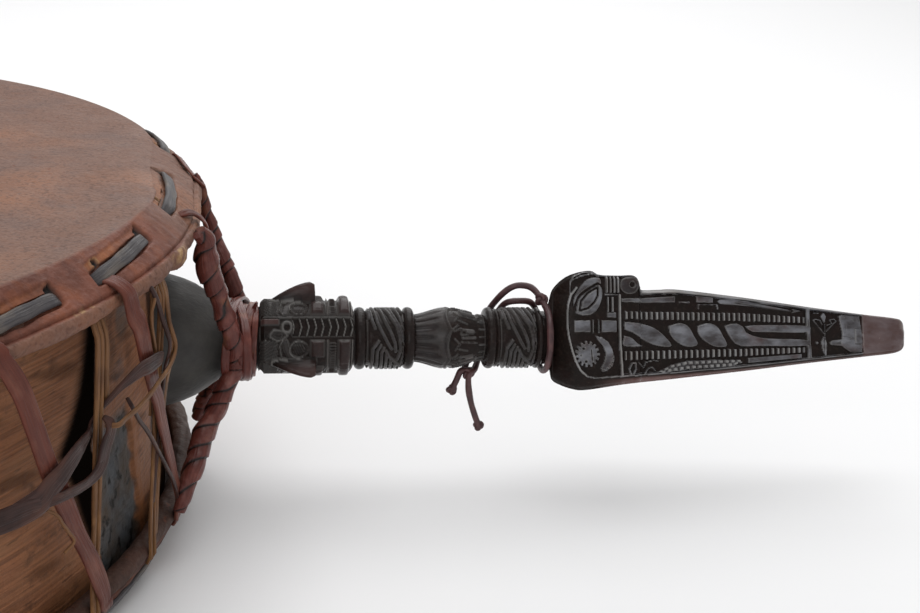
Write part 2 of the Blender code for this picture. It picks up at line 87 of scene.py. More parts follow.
class DrumSizes(bpy.types.PropertyGroup):
    """Sizes of the drum, its lacing and its handle."""

    depth: length_setting("Depth", "Height of the drum from skin to skin",
                          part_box("upper_head")[1].z)
    crease: length_setting("Crease radius", "Where a skin's face turns into its flap", 0.213)
    roll_tube: length_setting("Roll tube radius", "Thickness of a skin's rolled edge", ROLL_TUBE)
    upper_roll: length_setting("Upper roll radius", "Middle of the upper rolled edge",
                               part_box("upper_head")[1].y - ROLL_TUBE)
    lower_roll: length_setting("Lower roll radius", "Middle of the lower rolled edge",
                               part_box("lower_head")[1].y - ROLL_TUBE)
    roll_drop: length_setting("Roll drop", "Depth of a rolled edge under its skin", 0.0148)
    skin: length_setting("Skin thickness", "Thickness of a skin", 0.002)
    frame_radius: length_setting("Frame radius", "Outer radius of the bent wooden ring",
                                 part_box("frame")[1].y)
    frame_wall: length_setting("Frame wall", "Thickness of the bent wooden ring", 0.008)
    lace: length_setting("Lace width", "Width of the lacing strip", 0.006)
    belt: length_setting("Belt width", "Width of the strips woven round the drum", 0.0062)
    brace: length_setting("Brace radius", "Thickness of the bound ropes", 0.0033)
    cord: length_setting("Cord radius", "Thickness of the tie cord", 0.0015)
    handle_height: length_setting("Handle height", "Height of the handle's axis", 0.071)
    handle_roll: FloatProperty(name="Handle roll", description="How far the carved side looks up",
                               default=math.radians(24.0), subtype="ANGLE", unit="ROTATION")


class DrumColours(bpy.types.PropertyGroup):
    """Colours of the drum's finishes."""

    hide: colour_setting("Upper skin", "#6c4d40")
    hide_warm: colour_setting("Warm patches of the upper skin", "#85573c")
    flap: colour_setting("Skin's flap", "#734536")
    raw_edge: colour_setting("Raw edges", "#a5683a")
    # darker than the upper skin: partly its own tone, partly painted shade under the drum
    lower_hide: colour_setting("Lower skin", "#3f2f29")
    ribbon: colour_setting("Window strips", "#4b4747")
    slant: colour_setting("Slanting strips", "#66382d")
    splint: colour_setting("Upright strips", "#7f5a3c")
    belt: colour_setting("Belt strips", "#45302c")
    wood: colour_setting("Bent wood", "#976342")
    carved: colour_setting("Carved wood", "#1c1816")
    # grey of the worn flats: partly dust and wear, partly painted sheen standing in for their
    # reflection
    worn: colour_setting("Worn carved wood with painted sheen", "#73747a")
    binding: colour_setting("Bound strip", "#61322b")
    cord: colour_setting("Tie cord", "#45282a")


# ---------------------------------------------------------------- surfaces


def unit(vectors):
    """The vectors' directions, each one long."""
    return vectors / np.linalg.norm(vectors, axis=-1, keepdims=True)


def ease(value, low, high):
    """0 below low, 1 above high, with a smooth S between."""
    share = np.clip((value - low) / (high - low), 0.0, 1.0)
    return share * share * (3.0 - 2.0 * share)


def bell(away, width):
    """1 at no distance and 0 a few widths away, along a smooth bell curve."""
    return np.exp(-((away / width) ** 2))


def zigzag(value):
    """A half at each whole number, falling evenly to 0 halfway between two."""
    return np.abs(value % 1.0 - 0.5)


def apart(degrees, place):
    """Degrees round the drum from a place, from -180 to 180."""
    return (degrees - place + 180.0) % 360.0 - 180.0


def travelled(path):
    """Distance along a path up to each of its points."""
    steps = np.linalg.norm(np.diff(path, axis=0), axis=1)
    return np.concatenate([[0.0], np.cumsum(steps)])


def full_turn(count):
    """Angles evenly spaced round a whole turn, in radians."""
    return np.linspace(0.0, 2.0 * np.pi, count, endpoint=False)


def waver(*places, size, seed):
    """Soft unevenness from -1 to 1: the mean of seven sine waves about `size` long, each in a
    direction of its own."""
    chance = np.random.default_rng(seed)
    total = 0.0
    for _ in range(7):
        direction = unit(chance.normal(size=len(places)))
        turns = sum(d * p for d, p in zip(direction, places)) / (size * chance.uniform(0.7, 1.7))
        total = total + np.sin(2.0 * np.pi * (turns + chance.uniform()))
    return total / 3.5


class Surface:
    """Closed grids gathered into one mesh, with their corner UVs and painted values."""

    def __init__(self):
        self.points = []
        self.faces = []
        self.uvs = []
        self.paints = []
        self.count = 0

    def add(self, grid, ring=False, paint=None):
        """A grid whose columns go round and close. Its rows close too if ring is set, and
        otherwise a fan closes each end. UV is the distance along and across in metres."""
        rows, columns = grid.shape[:2]
        points = grid.reshape(-1, 3)
        colour = np.zeros((rows * columns, 4)) if paint is None else paint.reshape(-1, 4)
        i = np.arange(rows if ring else rows - 1)[:, None]
        j = np.arange(columns)[None, :]
        after_i, after_j = (i + 1) % rows, (j + 1) % columns
        quads = np.stack([i * columns + j, i * columns + after_j,
                          after_i * columns + after_j, after_i * columns + j], -1).reshape(-1, 4)
        closed = np.concatenate([grid, grid[:, :1]], 1)
        around = np.linalg.norm(np.diff(closed, axis=1), axis=2).mean(0)
        across = np.concatenate([[0.0], np.cumsum(around)])
        looped = np.concatenate([grid, grid[:1]], 0)
        along = np.concatenate(
            [[0.0], np.cumsum(np.linalg.norm(np.diff(looped, axis=0), axis=2).mean(1))])
        u, v = np.broadcast_arrays(along[i], across[j])
        u_next, v_next = np.broadcast_arrays(along[i + 1], across[j + 1])
        uv = np.stack([np.stack([u, v], -1), np.stack([u, v_next], -1),
                       np.stack([u_next, v_next], -1), np.stack([u_next, v], -1)], 2)
        faces, uvs = [quads], [uv.reshape(-1, 4, 2)]
        if not ring:
            for row, order in ((0, (1, 0)), (rows - 1, (0, 1))):
                middle = len(points)
                points = np.vstack([points, grid[row].mean(0)])
                colour = np.vstack([colour, colour[row * columns:(row + 1) * columns].mean(0)])
                ends = (row * columns + j[0], row * columns + after_j[0])
                fan = np.stack([ends[order[0]], ends[order[1]], np.full(columns, middle)], 1)
                spread = np.stack([across[j[0]], across[j[0] + 1]])
                corner = np.stack([np.stack([np.full(columns, along[row]), spread[k]], 1)
                                   for k in (*order, 0)], 1)
                faces.append(fan)
                uvs.append(corner)
        triangles = np.vstack([quads[:, :3], quads[:, [0, 2, 3]], *faces[1:]])
        a, b, c = (points[triangles[:, k]] for k in range(3))
        if np.einsum("ij,ij->i", a, np.cross(b, c)).sum() < 0.0:
            faces = [part[:, ::-1] for part in faces]
            uvs = [part[:, ::-1] for part in uvs]
        self.faces += [part + self.count for part in faces]
        self.uvs += uvs
        self.points.append(points)
        self.paints.append(colour)
        self.count += len(points)

    def finish(self, name, material, sharp=60.0):
        """The mesh object, riding on the drum's body."""
        points = np.vstack(self.points)
        corners = np.concatenate([part.ravel() for part in self.faces])
        sizes = np.concatenate([np.full(len(part), part.shape[1]) for part in self.faces])
        mesh = bpy.data.meshes.new(name)
        mesh.vertices.add(len(points))
        mesh.vertices.foreach_set("co", points.ravel())
        mesh.loops.add(len(corners))
        mesh.loops.foreach_set("vertex_index", corners.astype(np.int32))
        mesh.polygons.add(len(sizes))
        mesh.polygons.foreach_set("loop_start", (np.cumsum(sizes) - sizes).astype(np.int32))
        mesh.update(calc_edges=True)
        layer = mesh.uv_layers.new(name="UVMap")
        layer.uv.foreach_set("vector", np.concatenate([p.ravel() for p in self.uvs]))
        paint = mesh.color_attributes.new("paint", "FLOAT_COLOR", "POINT")
        paint.data.foreach_set("color", np.vstack(self.paints).ravel())
        mesh.shade_smooth()
        mesh.set_sharp_from_angle(angle=math.radians(sharp))
        mesh.validate()
        mesh.materials.append(material)
        piece = bpy.data.objects.new(name, mesh)
        bpy.context.scene.collection.objects.link(piece)
        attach(piece, "root")
        return piece


def smooth_curve(points, count):
    """Rows evenly spaced along the Catmull-Rom curve through the points. Values after the first
    three of a point, such as a direction, are carried along it."""
    points = np.asarray(points, float)
    padded = np.vstack([2 * points[0] - points[1], points, 2 * points[-1] - points[-2]])
    place = np.linspace(0.0, len(points) - 1.0, 20 * len(points))
    k = np.minimum(place.astype(int), len(points) - 2)
    t = (place - k)[:, None]
    a, b, c, d = (padded[k + n] for n in range(4))
    dense = 0.5 * (2 * b + (c - a) * t + (2 * a - 5 * b + 4 * c - d) * t**2
                   + (3 * b - a - 3 * c + d) * t**3)
    along = travelled(dense[:, :3])
    wanted = np.linspace(0.0, along[-1], count)
    return np.stack([np.interp(wanted, along, column) for column in dense.T], 1)


def sweep(path, outward, section):
    """A section of (across, out) points carried along a path: each is the path's place plus its
    share of the sideways and of the outward direction there."""
    forward = unit(np.gradient(path, axis=0))
    outward = unit(outward - (outward * forward).sum(1, keepdims=True) * forward)
    side = np.cross(outward, forward)
    section = np.broadcast_to(section, (len(path), *section.shape[-2:]))
    return path[:, None] + side[:, None] * section[..., :1] + outward[:, None] * section[..., 1:]


def ring_sweep(path, outward, section):
    """A section carried round a closed path."""
    path, outward = (np.concatenate([part[-2:], part, part[:2]]) for part in (path, outward))
    return sweep(path, outward, section)[2:-2]


def strip_section(width, thick, count, groove):
    """A flat oval with square-ish corners; the groove dents the middle of its outer side."""
    turn = full_turn(count)
    across = 0.5 * width * np.sign(np.cos(turn)) * np.abs(np.cos(turn)) ** 0.55
    out = 0.5 * thick * np.sign(np.sin(turn)) * np.abs(np.sin(turn)) ** 0.6
    out = out - groove * bell(across, 0.16 * width) * (out > 0.0)
    return np.stack([across, out], 1)


def strip(surface, points, width, thick, rows, seed, groove=0.0, widths=None, count=14):
    """A strip through control points of (x, y, z, outward x, y, z). Its width wavers a little,
    follows `widths` along it, and its ends are pinched."""
    curve = smooth_curve(points, rows)
    share = np.linspace(0.0, 1.0, rows)
    scale = 1.0 + 0.07 * waver(share, size=0.35, seed=seed)
    if widths is not None:
        wide = np.interp(share, np.linspace(0.0, 1.0, len(widths)), widths)
        reach = max(rows // (3 * len(widths)), 1)
        kernel = np.hanning(2 * reach + 3)[1:-1]
        scale = scale * np.convolve(np.pad(wide, reach, "edge"), kernel / kernel.sum(), "valid")
    section = np.broadcast_to(strip_section(width, thick, count, groove), (rows, count, 2)).copy()
    section[..., 0] *= scale[:, None]
    section[..., 1] *= (1.0 + 0.10 * waver(share, size=0.2, seed=seed + 1))[:, None]
    drift = 0.05 * width * waver(share, size=0.5, seed=seed + 2)
    section[..., 0] += drift[:, None]
    surface.add(sweep(curve[:, :3], curve[:, 3:6], section))


def station(degrees, radius, height, tilt=0.0):
    """A place round the drum and its outward direction, tilted up by tilt radians."""
    turn = math.radians(degrees)
    outward = (math.cos(turn) * math.cos(tilt), math.sin(turn) * math.cos(tilt), math.sin(tilt))
    return (radius * math.cos(turn), radius * math.sin(turn), height, *outward)


# a section row whose share is above this is out of sight, on the skin's inner side
INNER = 8.0


class Skin:
    """Section of one skin: a flat face, a sloping flap and a rolled edge, as (radius, depth)
    places with depth counted from the face into the drum."""

    def __init__(self, sizes, roll_radius, face, inward, slump):
        self.face, self.inward, self.slump = face, inward, slump
        self.tube, self.thick = sizes.roll_tube, sizes.skin
        self.crease = np.array([sizes.crease, 0.0])
        self.roll = np.array([roll_radius, sizes.roll_drop])
        reach = self.roll - self.crease
        length = np.linalg.norm(reach)
        slope = math.atan2(reach[1], reach[0]) - math.asin(self.tube / length)
        self.slope = slope
        self.down = np.array([math.cos(slope), math.sin(slope)])
        self.out = np.array([math.sin(slope), -math.cos(slope)])
        self.flap = math.sqrt(length**2 - self.tube**2)
        self.start = math.atan2(self.out[1], self.out[0])

    def settled(self, degrees, share):
        """How far the skin has settled inwards beside the handle, most at its crease."""
        beside = bell(apart(degrees, 5.0), 9.5)
        return self.slump * beside * (1.0 - 0.68 * np.clip(share, 0, 1))

    def on_flap(self, degrees, share, lift):
        """A station share of the way down the flap and lift metres above it."""
        place = self.crease + self.down * self.flap * share + self.out * lift
        return self.at(degrees, place, share, self.start)

    def on_roll(self, degrees, turn, lift):
        """A station over the roll: turn is 0 where the flap meets it, 1 at its side and 2
        under it."""
        angle = self.start * (1.0 - turn)
        ray = np.array([math.cos(angle), math.sin(angle)])
        return self.at(degrees, self.roll + (self.tube + lift) * ray, 1.0, angle)

    def at(self, degrees, place, share, angle):
        """A station at a (radius, depth) place of the section, moved in where the skin has
        settled and facing out at that angle."""
        return station(degrees, place[0] - self.settled(degrees, share),
                       self.face + self.inward * place[1], angle * self.inward)

    def rows(self):
        """(radius, depth, outward radius, outward depth, share) from the face's middle, over a
        rounded crease, down the flap, round the roll and back inside. share is -1 on the face,
        0 to 1 down the flap, 1 to 2 and more round the roll, and above INNER inside."""
        bend = 0.0024
        tangent = bend * math.tan(self.slope / 2.0)
        flat = np.concatenate([np.linspace(0.003, 0.185, 14),
                               np.linspace(0.192, self.crease[0] - tangent, 13)])
        face = [np.stack([flat, 0 * flat, 0 * flat, 0 * flat - 1.0, 0 * flat - 1.0], 1)]
        turn = np.linspace(0.0, self.slope, 7)[1:]
        middle = np.array([self.crease[0] - tangent, bend])
        ray = np.stack([np.sin(turn), -np.cos(turn)], 1)
        face.append(np.hstack([middle + bend * ray, ray, 0.02 * turn[:, None] / self.slope]))
        share = np.concatenate([np.linspace(0.04, 0.80, 26), np.linspace(0.83, 0.995, 9)])
        share = share[:, None]
        ones = np.ones_like(share)
        face.append(np.hstack([self.crease + self.down * self.flap * share,
                               ones * self.out, share]))
        sweep_angle = 2.0 * math.pi - math.acos((self.tube - self.thick) / self.tube)
        turn = np.linspace(0.0, sweep_angle, 28)
        ray = np.stack([np.cos(self.start + turn), np.sin(self.start + turn)], 1)
        share = 1.0 - turn[:, None] / self.start
        face.append(np.hstack([self.roll + self.tube * ray, ray, np.abs(share)]))
        inner = self.crease - self.thick * self.out
        inner = inner + self.down * (self.thick - inner[1]) / self.down[1]
        back = np.array([[inner[0], inner[1]], [0.19, self.thick], [0.10, self.thick],
                         [0.003, self.thick]])
        face.append(np.hstack([back, np.tile([0.0, 1.0, INNER + 1.0], (4, 1))]))
        return np.vstack(face)


# ---------------------------------------------------------------- finishes


def feed(tree, socket, value):
    """Give a socket a value, another node's output, or another node for its first output."""
    if isinstance(value, bpy.types.Node):
        value = value.outputs[0]
    if isinstance(value, bpy.types.NodeSocket):
        tree.links.new(value, socket)
    else:
        socket.default_value = value


def add_node(tree, kind, inputs=None, **settings):
    """One shader node with its settings, and with its inputs fed."""
    made = tree.nodes.new(kind)
    for key, value in settings.items():
        setattr(made, key, value)
    for socket, value in (inputs or {}).items():
        feed(tree, made.inputs[socket], value)
    return made


def shader_colour(colour):
    """A node's output as it is, or a hex or linear colour with its alpha."""
    if isinstance(colour, bpy.types.NodeSocket):
        return colour
    return (*(linear(colour) if isinstance(colour, str) else colour), 1.0)


class Finish:
    """A new Principled material and the few steps that its pattern is made of."""

    def __init__(self, name, roughness, specular=0.5):
        self.material = bpy.data.materials.new(name)
        self.material.use_nodes = True
        self.tree = self.material.node_tree
        self.shader = self.tree.nodes["Principled BSDF"]
        self.set("Roughness", roughness)
        self.set("Specular IOR Level", specular)
        self.place = self.node("ShaderNodeTexCoord").outputs["Object"]
        self.flat = self.node("ShaderNodeTexCoord").outputs["UV"]
        split = self.node("ShaderNodeVertexColor", layer_name="paint")
        parts = self.node("ShaderNodeSeparateColor", {0: split})
        self.painted = [*parts.outputs[:3], split.outputs[1]]

    def node(self, kind, inputs=None, **settings):
        """A node in this material."""
        return add_node(self.tree, kind, inputs, **settings)

    def set(self, socket, value):
        """Feed one of the shader's own sockets."""
        feed(self.tree, self.shader.inputs[socket], value)

    def grain(self, length, detail=3.0, low=0.35, high=0.65, shift=0.0, stretch=(1.0, 1.0, 1.0),
              on_uv=False):
        """Noise about `length` metres across, drawn out by stretch, spread over 0 to 1."""
        placed = self.node("ShaderNodeMapping", {
            "Vector": self.flat if on_uv else self.place, "Location": (shift, shift, shift),
            "Scale": [1.0 / (length * share) for share in stretch]})
        noise = self.node("ShaderNodeTexNoise", {"Vector": placed, "Scale": 1.0,
                                                 "Detail": detail, "Roughness": 0.55})
        return self.node("ShaderNodeMapRange", {0: noise, 1: low, 2: high})

    def fibres(self, length, stretch, *spread):
        """Grain drawn out along the surface's own length."""
        return self.grain(length, *spread, stretch=(stretch, 1.0, 1.0), on_uv=True)

    def blend(self, share, first, second, amount=1.0):
        """Colour that goes from first to second with share."""
        if amount != 1.0:
            share = self.node("ShaderNodeMath", {0: share, 1: amount}, operation="MULTIPLY")
        return self.node("ShaderNodeMix", {0: share, 6: shader_colour(first),
                                           7: shader_colour(second)}, data_type="RGBA").outputs[2]

    def mottled(self, tone, *layers):
        """The tone under patches of other colours, each a layer of its colour, its amount and
        its grain's length, detail, low, high, shift and stretch."""
        for colour, amount, *grain in layers:
            tone = self.blend(self.grain(*grain), tone, colour, amount)
        return tone

    def done(self, colour, height, relief, roughness=None):
        """Link the colour, the height as a bump of relief metres, and the roughness."""
        self.set("Base Color", colour)
        self.set("Normal", self.node("ShaderNodeBump", {"Height": height, "Distance": relief,
                                                        "Strength": 1.0}))
        if roughness is not None:
            self.set("Roughness", roughness)
        return self.material


def hide_finish(name, face, warm, dim, flap, raw, pebbled):
    """Goat hide, limed, stretched wet and blackened by smoke and hands. Gives a dull, finely
    pebbled skin with warm patches, redder and glossier where it is folded over the edge."""
    made = Finish(name, 0.62, 0.22)
    # follicle pits are about 0.5 mm apart; they are drawn at 1.1 mm, as coarse as shows
    pebble = made.grain(0.0011, 2.0, 0.30, 0.70)
    tone = made.mottled(face, (warm, 1.0, 0.075, 4.0, 0.42, 0.62),
                        (dim, 0.75, 0.022, 4.0, 0.45, 0.72, 1.0))
    tone = made.mottled(made.blend(pebble, tone, "#8d7060", pebbled),
                        ("#432e28", 0.45, 0.0016, 1.0, 0.56, 0.66, 3.0),
                        ("#6d3c26", 0.65, 0.0045, 3.0, 0.66, 0.72, 8.0))
    folded = made.mottled(flap, ("#5a352a", 1.0, 0.012, 4.0),
                          ("#8f5233", 0.4, 0.009, 5.0, 0.50, 0.68, 5.0),
                          ("#43261f", 0.5, 0.0035, 3.0, 0.58, 0.75, 9.0),
                          ("#8a6055", 0.25, 0.0018, 3.0, 0.50, 0.70, 4.0, (5.0, 1.0, 1.0)))
    tone = made.blend(made.painted[0], tone, folded)
    tone = made.blend(made.painted[1], tone, made.mottled(raw, ("#7d4b2b", 1.0, 0.0030)))
    tone = made.blend(made.painted[3], tone, made.blend(pebble, "#8a6844", "#b3966f"))
    # painted shade: near black in the windows' holes and along the shadow lines under their shelves
    tone = made.blend(made.painted[2], tone, "#0b0706")
    pits = made.node("ShaderNodeMath", {0: pebble, 1: 0.4}, operation="MULTIPLY")
    height = made.node("ShaderNodeMath", {0: pits, 1: made.grain(0.005)}, operation="ADD")
    gloss = made.node("ShaderNodeMapRange", {0: made.grain(0.02, shift=2.0), 3: 0.54, 4: 0.66})
    return made.done(tone, height, 0.00020, gloss)


def strip_finish(name, colour, edge, dark, roughness):
    """Split cane or dried hide strip, pulled tight wet. Its fibres run along it, so it shows
    fine lengthwise lines, paler scuffed edges and a soft shine."""
    made = Finish(name, roughness, 0.14)
    lines = made.fibres(0.0009, 22.0, 3.0, 0.32, 0.68)
    tone = made.blend(lines, colour, dark, 0.65)
    tone = made.blend(made.fibres(0.007, 3.0, 4.0, 0.48, 0.70), tone, edge, 0.45)
    tone = made.mottled(tone, (dark, 0.6, 0.013, 3.0, 0.52, 0.72, 4.0))
    gloss = made.node("ShaderNodeMapRange", {0: lines, 3: roughness - 0.12, 4: roughness + 0.04})
    return made.done(tone, lines, 0.00016, gloss)


def wood_finish(name, colour):
    """Steam-bent softwood board, hand-planed and oiled by years of handling. Its grain runs
    round the drum in fine lines, with dark stains, painted shadow beside the upright strips and
    a burnt patch by the lap joint."""
    made = Finish(name, 0.60)
    grain = made.fibres(0.0012, 30.0, 4.0, 0.34, 0.66)
    tone = made.mottled(made.blend(grain, colour, "#5b3824", 0.75),
                        ("#966b4b", 0.5, 0.020, 4.0, 0.45, 0.70, 0.0, (1.6, 1.6, 0.9)),
                        ("#3a2418", 0.7, 0.010, 5.0, 0.60, 0.74, 6.0))
    tone = made.blend(made.fibres(0.0020, 6.0, 3.0, 0.62, 0.72, 2.0), tone, "#2c1a10", 0.6)
    cracks = made.grain(0.0048, 3.0, 0.38, 0.46, 3.0, (1.0, 1.0, 1.4))
    scaly = made.mottled("#55575a", ("#4d4238", 1.0, 0.012, 4.0, 0.35, 0.65, 9.0))
    tone = made.blend(made.painted[1], tone, made.blend(cracks, "#211d1b", scaly))
    # near black for the stains and the painted shadow and shade
    tone = made.blend(made.painted[0], tone, "#0d0907")
    tone = made.blend(made.painted[2], tone, "#8d5832")
    ridges = made.node("ShaderNodeMath", {0: grain, 1: 0.6}, operation="MULTIPLY")
    pores = made.grain(0.004, 4.0, shift=1.0)
    height = made.node("ShaderNodeMath", {0: ridges, 1: pores}, operation="ADD")
    # the stains and the painted shadow have no shine
    made.set("Specular IOR Level", made.node("ShaderNodeMapRange",
                                             {0: made.painted[0], 3: 0.3, 4: 0.0}))
    return made.done(tone, height, 0.00025)


def carved_finish(name, ground, worn):
    """Close-grained hardwood, carved, stained nearly black and waxed. The wax gives a soft
    shine; dust and wear have left the high flats grey and the edges and tip reddish. The flats'
    grey also stands in for the sheen they catch, as painted reflection, and painted highlights
    lie along the raised lines and edges."""
    made = Finish(name, 0.30)
    patch = made.grain(0.006, 4.0, 0.30, 0.70)
    tone = made.mottled(made.blend(patch, ground, "#1f1513"),
                        ("#3a302b", 0.25, 0.0016, 4.0, 0.52, 0.66, 4.0))
    # the flats' grey: dust and wear, and painted sheen
    flats = made.mottled(worn, ("#3a3638", 1.0, 0.004, 4.0, 0.35, 0.65, 2.0, (2.0, 1.0, 1.0)),
                         ("#4e302b", 0.6, 0.011, 3.0, 0.55, 0.75, 7.0))
    tone = made.blend(made.painted[0], tone, flats)
    # painted highlights along the raised lines, bars and edges
    tone = made.blend(made.painted[3], tone, "#8e8c89", 0.62)
    tone = made.blend(made.painted[1], tone, made.blend(patch, "#532f29", "#6c5350"))
    dust = made.mottled("#42403f", ("#52504d", 1.0, 0.013, 4.0, 0.4, 0.7, 5.0))
    tone = made.blend(made.painted[2], tone, dust)
    fine = made.grain(0.0012, 3.0, 0.3, 0.7, 8.0, (6.0, 1.0, 1.0))
    waxed = made.node("ShaderNodeMapRange", {0: patch, 3: 0.16, 4: 0.28})
    dusty = made.node("ShaderNodeMath", {0: made.painted[2], 1: 0.20}, operation="MULTIPLY")
    gloss = made.node("ShaderNodeMath", {0: waxed, 1: dusty}, operation="ADD")
    # the worn flats and the reddish tip shine more than the ground
    flat = made.node("ShaderNodeMapRange", {0: made.painted[0], 3: 0.11, 4: 0.50})
    tip = made.node("ShaderNodeMath", {0: made.painted[1], 1: 0.25}, operation="MULTIPLY")
    made.set("Specular IOR Level", made.node("ShaderNodeMath", {0: flat, 1: tip},
                                             operation="ADD"))
    return made.done(tone, fine, 0.00008, gloss)


def binding_finish(name, colour, dark):
    """Inner-bark strip wound wet round rope and left to dry hard. Reddish brown and glossy on its
    turns, with painted shade nearly black in the gaps between them."""
    made = Finish(name, 0.28, 0.28)
    lines = made.fibres(0.0009, 14.0, 3.0, 0.32, 0.68)
    tone = made.mottled(made.blend(lines, colour, dark, 0.45),
                        ("#824c42", 0.6, 0.006, 4.0, 0.50, 0.72),
                        ("#a07a72", 0.3, 0.009, 3.0, 0.57, 0.72, 3.0),
                        ("#94643a", 0.35, 0.012, 3.0, 0.60, 0.74, 6.0))
    # painted shade, nearly black, in the gaps between the turns
    tone = made.blend(made.painted[0], tone, "#120a09")
    return made.done(tone, lines, 0.00014)


def cord_finish(name, colour):
    """Rolled leather thong, dyed dark red-brown. Smooth and dull with a slight shine."""
    made = Finish(name, 0.50)
    tone = made.blend(made.fibres(0.0020, 5.0), colour, "#2e1a1b", 0.6)
    tone = made.mottled(tone, ("#6a4644", 0.6, 0.005, 3.0, 0.5, 0.75))
    return made.done(tone, made.fibres(0.0011, 3.0, 2.0), 0.00012)


# ---------------------------------------------------------------- skins, frame and lacing

# openings through which the lacing shows: left and right end in degrees, and how far down the
# flap the strip lies at each of them
NEAR_WINDOW = (-8.6, 4.8, 0.38, 0.33)
FAR_WINDOW = (15.0, 25.0, 0.42, 0.40)
LEFT_WINDOWS = ((-26.8, -16.2, 0.57, 0.41), (-42.0, -31.4, 0.66, 0.57))

# the strips beside the handle: each place is its angle round the drum in degrees, then its
# height and how far it stands outside the line between the two rolls, both in millimetres
NEAR_SLANTS = (
    (-39.6, ((-38.3, 114.2, 2.4), (-37.1, 98.4, 3.0), (-35.9, 84.5, 3.0), (-34.3, 70.4, 3.0),
        (-32.5, 53.9, 3.0), (-30.4, 37.7, 3.0), (-28.4, 20.6, 2.0))),
    (-25.1, ((-24.8, 119.6, 2.0), (-24.3, 115.8, 2.8), (-23.6, 109.0, 3.0), (-23.0, 102.6, 3.0),
        (-22.3, 97.3, 3.0), (-21.1, 86.7, 3.0), (-20.3, 81.0, 3.0), (-19.3, 71.3, 3.0),
        (-17.7, 59.0, 3.0), (-15.6, 43.4, 3.0), (-12.9, 27.0, 2.4), (-12.1, 19.3, 1.6))))

NEAR_UPRIGHTS = (-28.9, -19.0)

BELTS = (
    ((-43.5, 74.0, 3.0), (-41.0, 74.5, 4.5), (-39.0, 75.0, 5.0), (-37.3, 76.3, 5.5),
        (-36.2, 79.3, 5.5), (-35.1, 81.5, 5.5), (-34.1, 83.4, 5.0), (-33.0, 84.6, 4.0),
        (-31.6, 85.0, 2.0), (-30.0, 85.2, -0.5), (-29.0, 87.2, -2.0), (-28.5, 90.9, -0.5),
        (-28.2, 94.0, 1.5), (-27.2, 97.0, 3.0), (-26.3, 99.1, 4.5), (-25.0, 100.5, 5.5),
        (-23.8, 100.3, 6.0), (-22.0, 99.1, 5.0), (-19.9, 96.8, 3.0), (-18.6, 95.3, 1.0)),
    ((-43.5, 77.0, 3.0), (-41.0, 77.0, 5.0), (-38.3, 76.1, 5.5), (-36.9, 74.7, 5.5),
        (-35.5, 73.8, 6.0), (-33.8, 72.5, 5.0), (-32.4, 71.2, 4.0), (-31.0, 70.3, 3.0),
        (-30.1, 70.6, 2.6), (-29.5, 71.8, 2.6), (-29.1, 74.1, 2.6), (-29.1, 76.8, 3.0),
        (-29.1, 79.5, 3.5), (-29.0, 82.6, 4.0), (-28.9, 85.5, 4.5), (-29.1, 88.4, 4.5),
        (-29.4, 90.5, 3.0)))

BELT_WIDTHS = (
    (1.1, 1.2, 1.35, 1.5, 1.6, 1.5, 1.3, 1.1, 0.8, 0.5, 0.35, 0.35, 0.45, 0.7, 0.95, 1.0, 0.9,
        0.7, 0.4),
    (0.9, 0.9, 0.9, 0.9, 0.8, 0.75, 0.65, 0.6, 0.6, 0.6, 0.6, 0.7, 0.85, 1.0, 1.15, 0.9, 0.25))

# splints and loose ends: width in millimetres, 1 for a dark one, and the places
SPLINTS = (
    (2.0, 0, ((-29.1, 87.4, 3.0), (-28.6, 87.2, 6.5), (-27.2, 87.2, 6.0), (-25.2, 87.7, 6.0),
        (-23.4, 89.3, 6.0), (-21.8, 91.4, 6.0), (-19.5, 91.9, 5.0), (-17.9, 93.6, 4.3),
        (-17.2, 96.8, 3.8), (-17.6, 101.3, 3.3), (-18.0, 106.5, 2.3), (-18.0, 111.9, 1.2),
        (-17.9, 117.0, 0.0), (-17.9, 122.0, -1.5))),
    (2.6, 0, ((-17.7, 122.0, -1.8), (-17.5, 118.0, -0.5), (-17.5, 113.0, 0.4), (-17.7, 104.9, 2.0),
        (-17.5, 99.0, 2.8), (-17.4, 92.0, 2.8), (-17.7, 85.6, 2.0), (-17.6, 78.5, 1.2),
        (-17.6, 65.8, 0.6), (-17.6, 52.0, 0.3), (-17.5, 36.0, 0.0), (-17.5, 20.0, 0.0))),
    (2.1, 1, ((-20.8, 125.0, -1.5), (-20.5, 120.0, 0.8), (-19.9, 114.8, 1.5), (-19.5, 109.9, 2.2),
        (-19.1, 105.1, 3.2), (-18.5, 99.9, 3.6), (-18.4, 95.5, 3.2), (-18.5, 90.9, 2.4),
        (-18.2, 82.0, 1.4), (-18.4, 70.0, 1.0), (-18.6, 52.0, 0.6), (-18.6, 36.0, 0.2))),
    (1.3, 0, ((-19.6, 122.0, -1.0), (-20.7, 118.8, 1.0), (-21.5, 114.9, 1.5), (-21.2, 108.6, 1.5),
        (-20.6, 102.2, 1.5), (-20.3, 96.0, 1.5), (-19.8, 84.0, 1.0), (-19.4, 66.0, 0.4))),
    (1.5, 0, ((-20.2, 122.0, -1.2), (-20.6, 110.0, 0.2), (-20.4, 98.0, 0.4), (-20.2, 86.0, 0.2),
        (-20.0, 74.0, 0.0))),
    (1.5, 1, ((-25.3, 90.2, 1.5), (-25.4, 88.6, 3.0), (-24.8, 84.5, 3.5), (-23.8, 79.6, 3.0),
        (-22.0, 71.3, 3.0), (-20.3, 61.7, 3.5), (-18.3, 50.8, 4.0), (-15.9, 39.1, 4.0),
        (-13.4, 26.4, 3.0), (-12.4, 18.7, 2.0))),
    (1.1, 0, ((-36.2, 70.0, 3.6), (-35.3, 66.5, 4.5), (-34.7, 62.3, 4.6), (-34.0, 57.6, 4.6),
        (-33.4, 53.0, 4.6), (-34.4, 50.6, 4.2))))

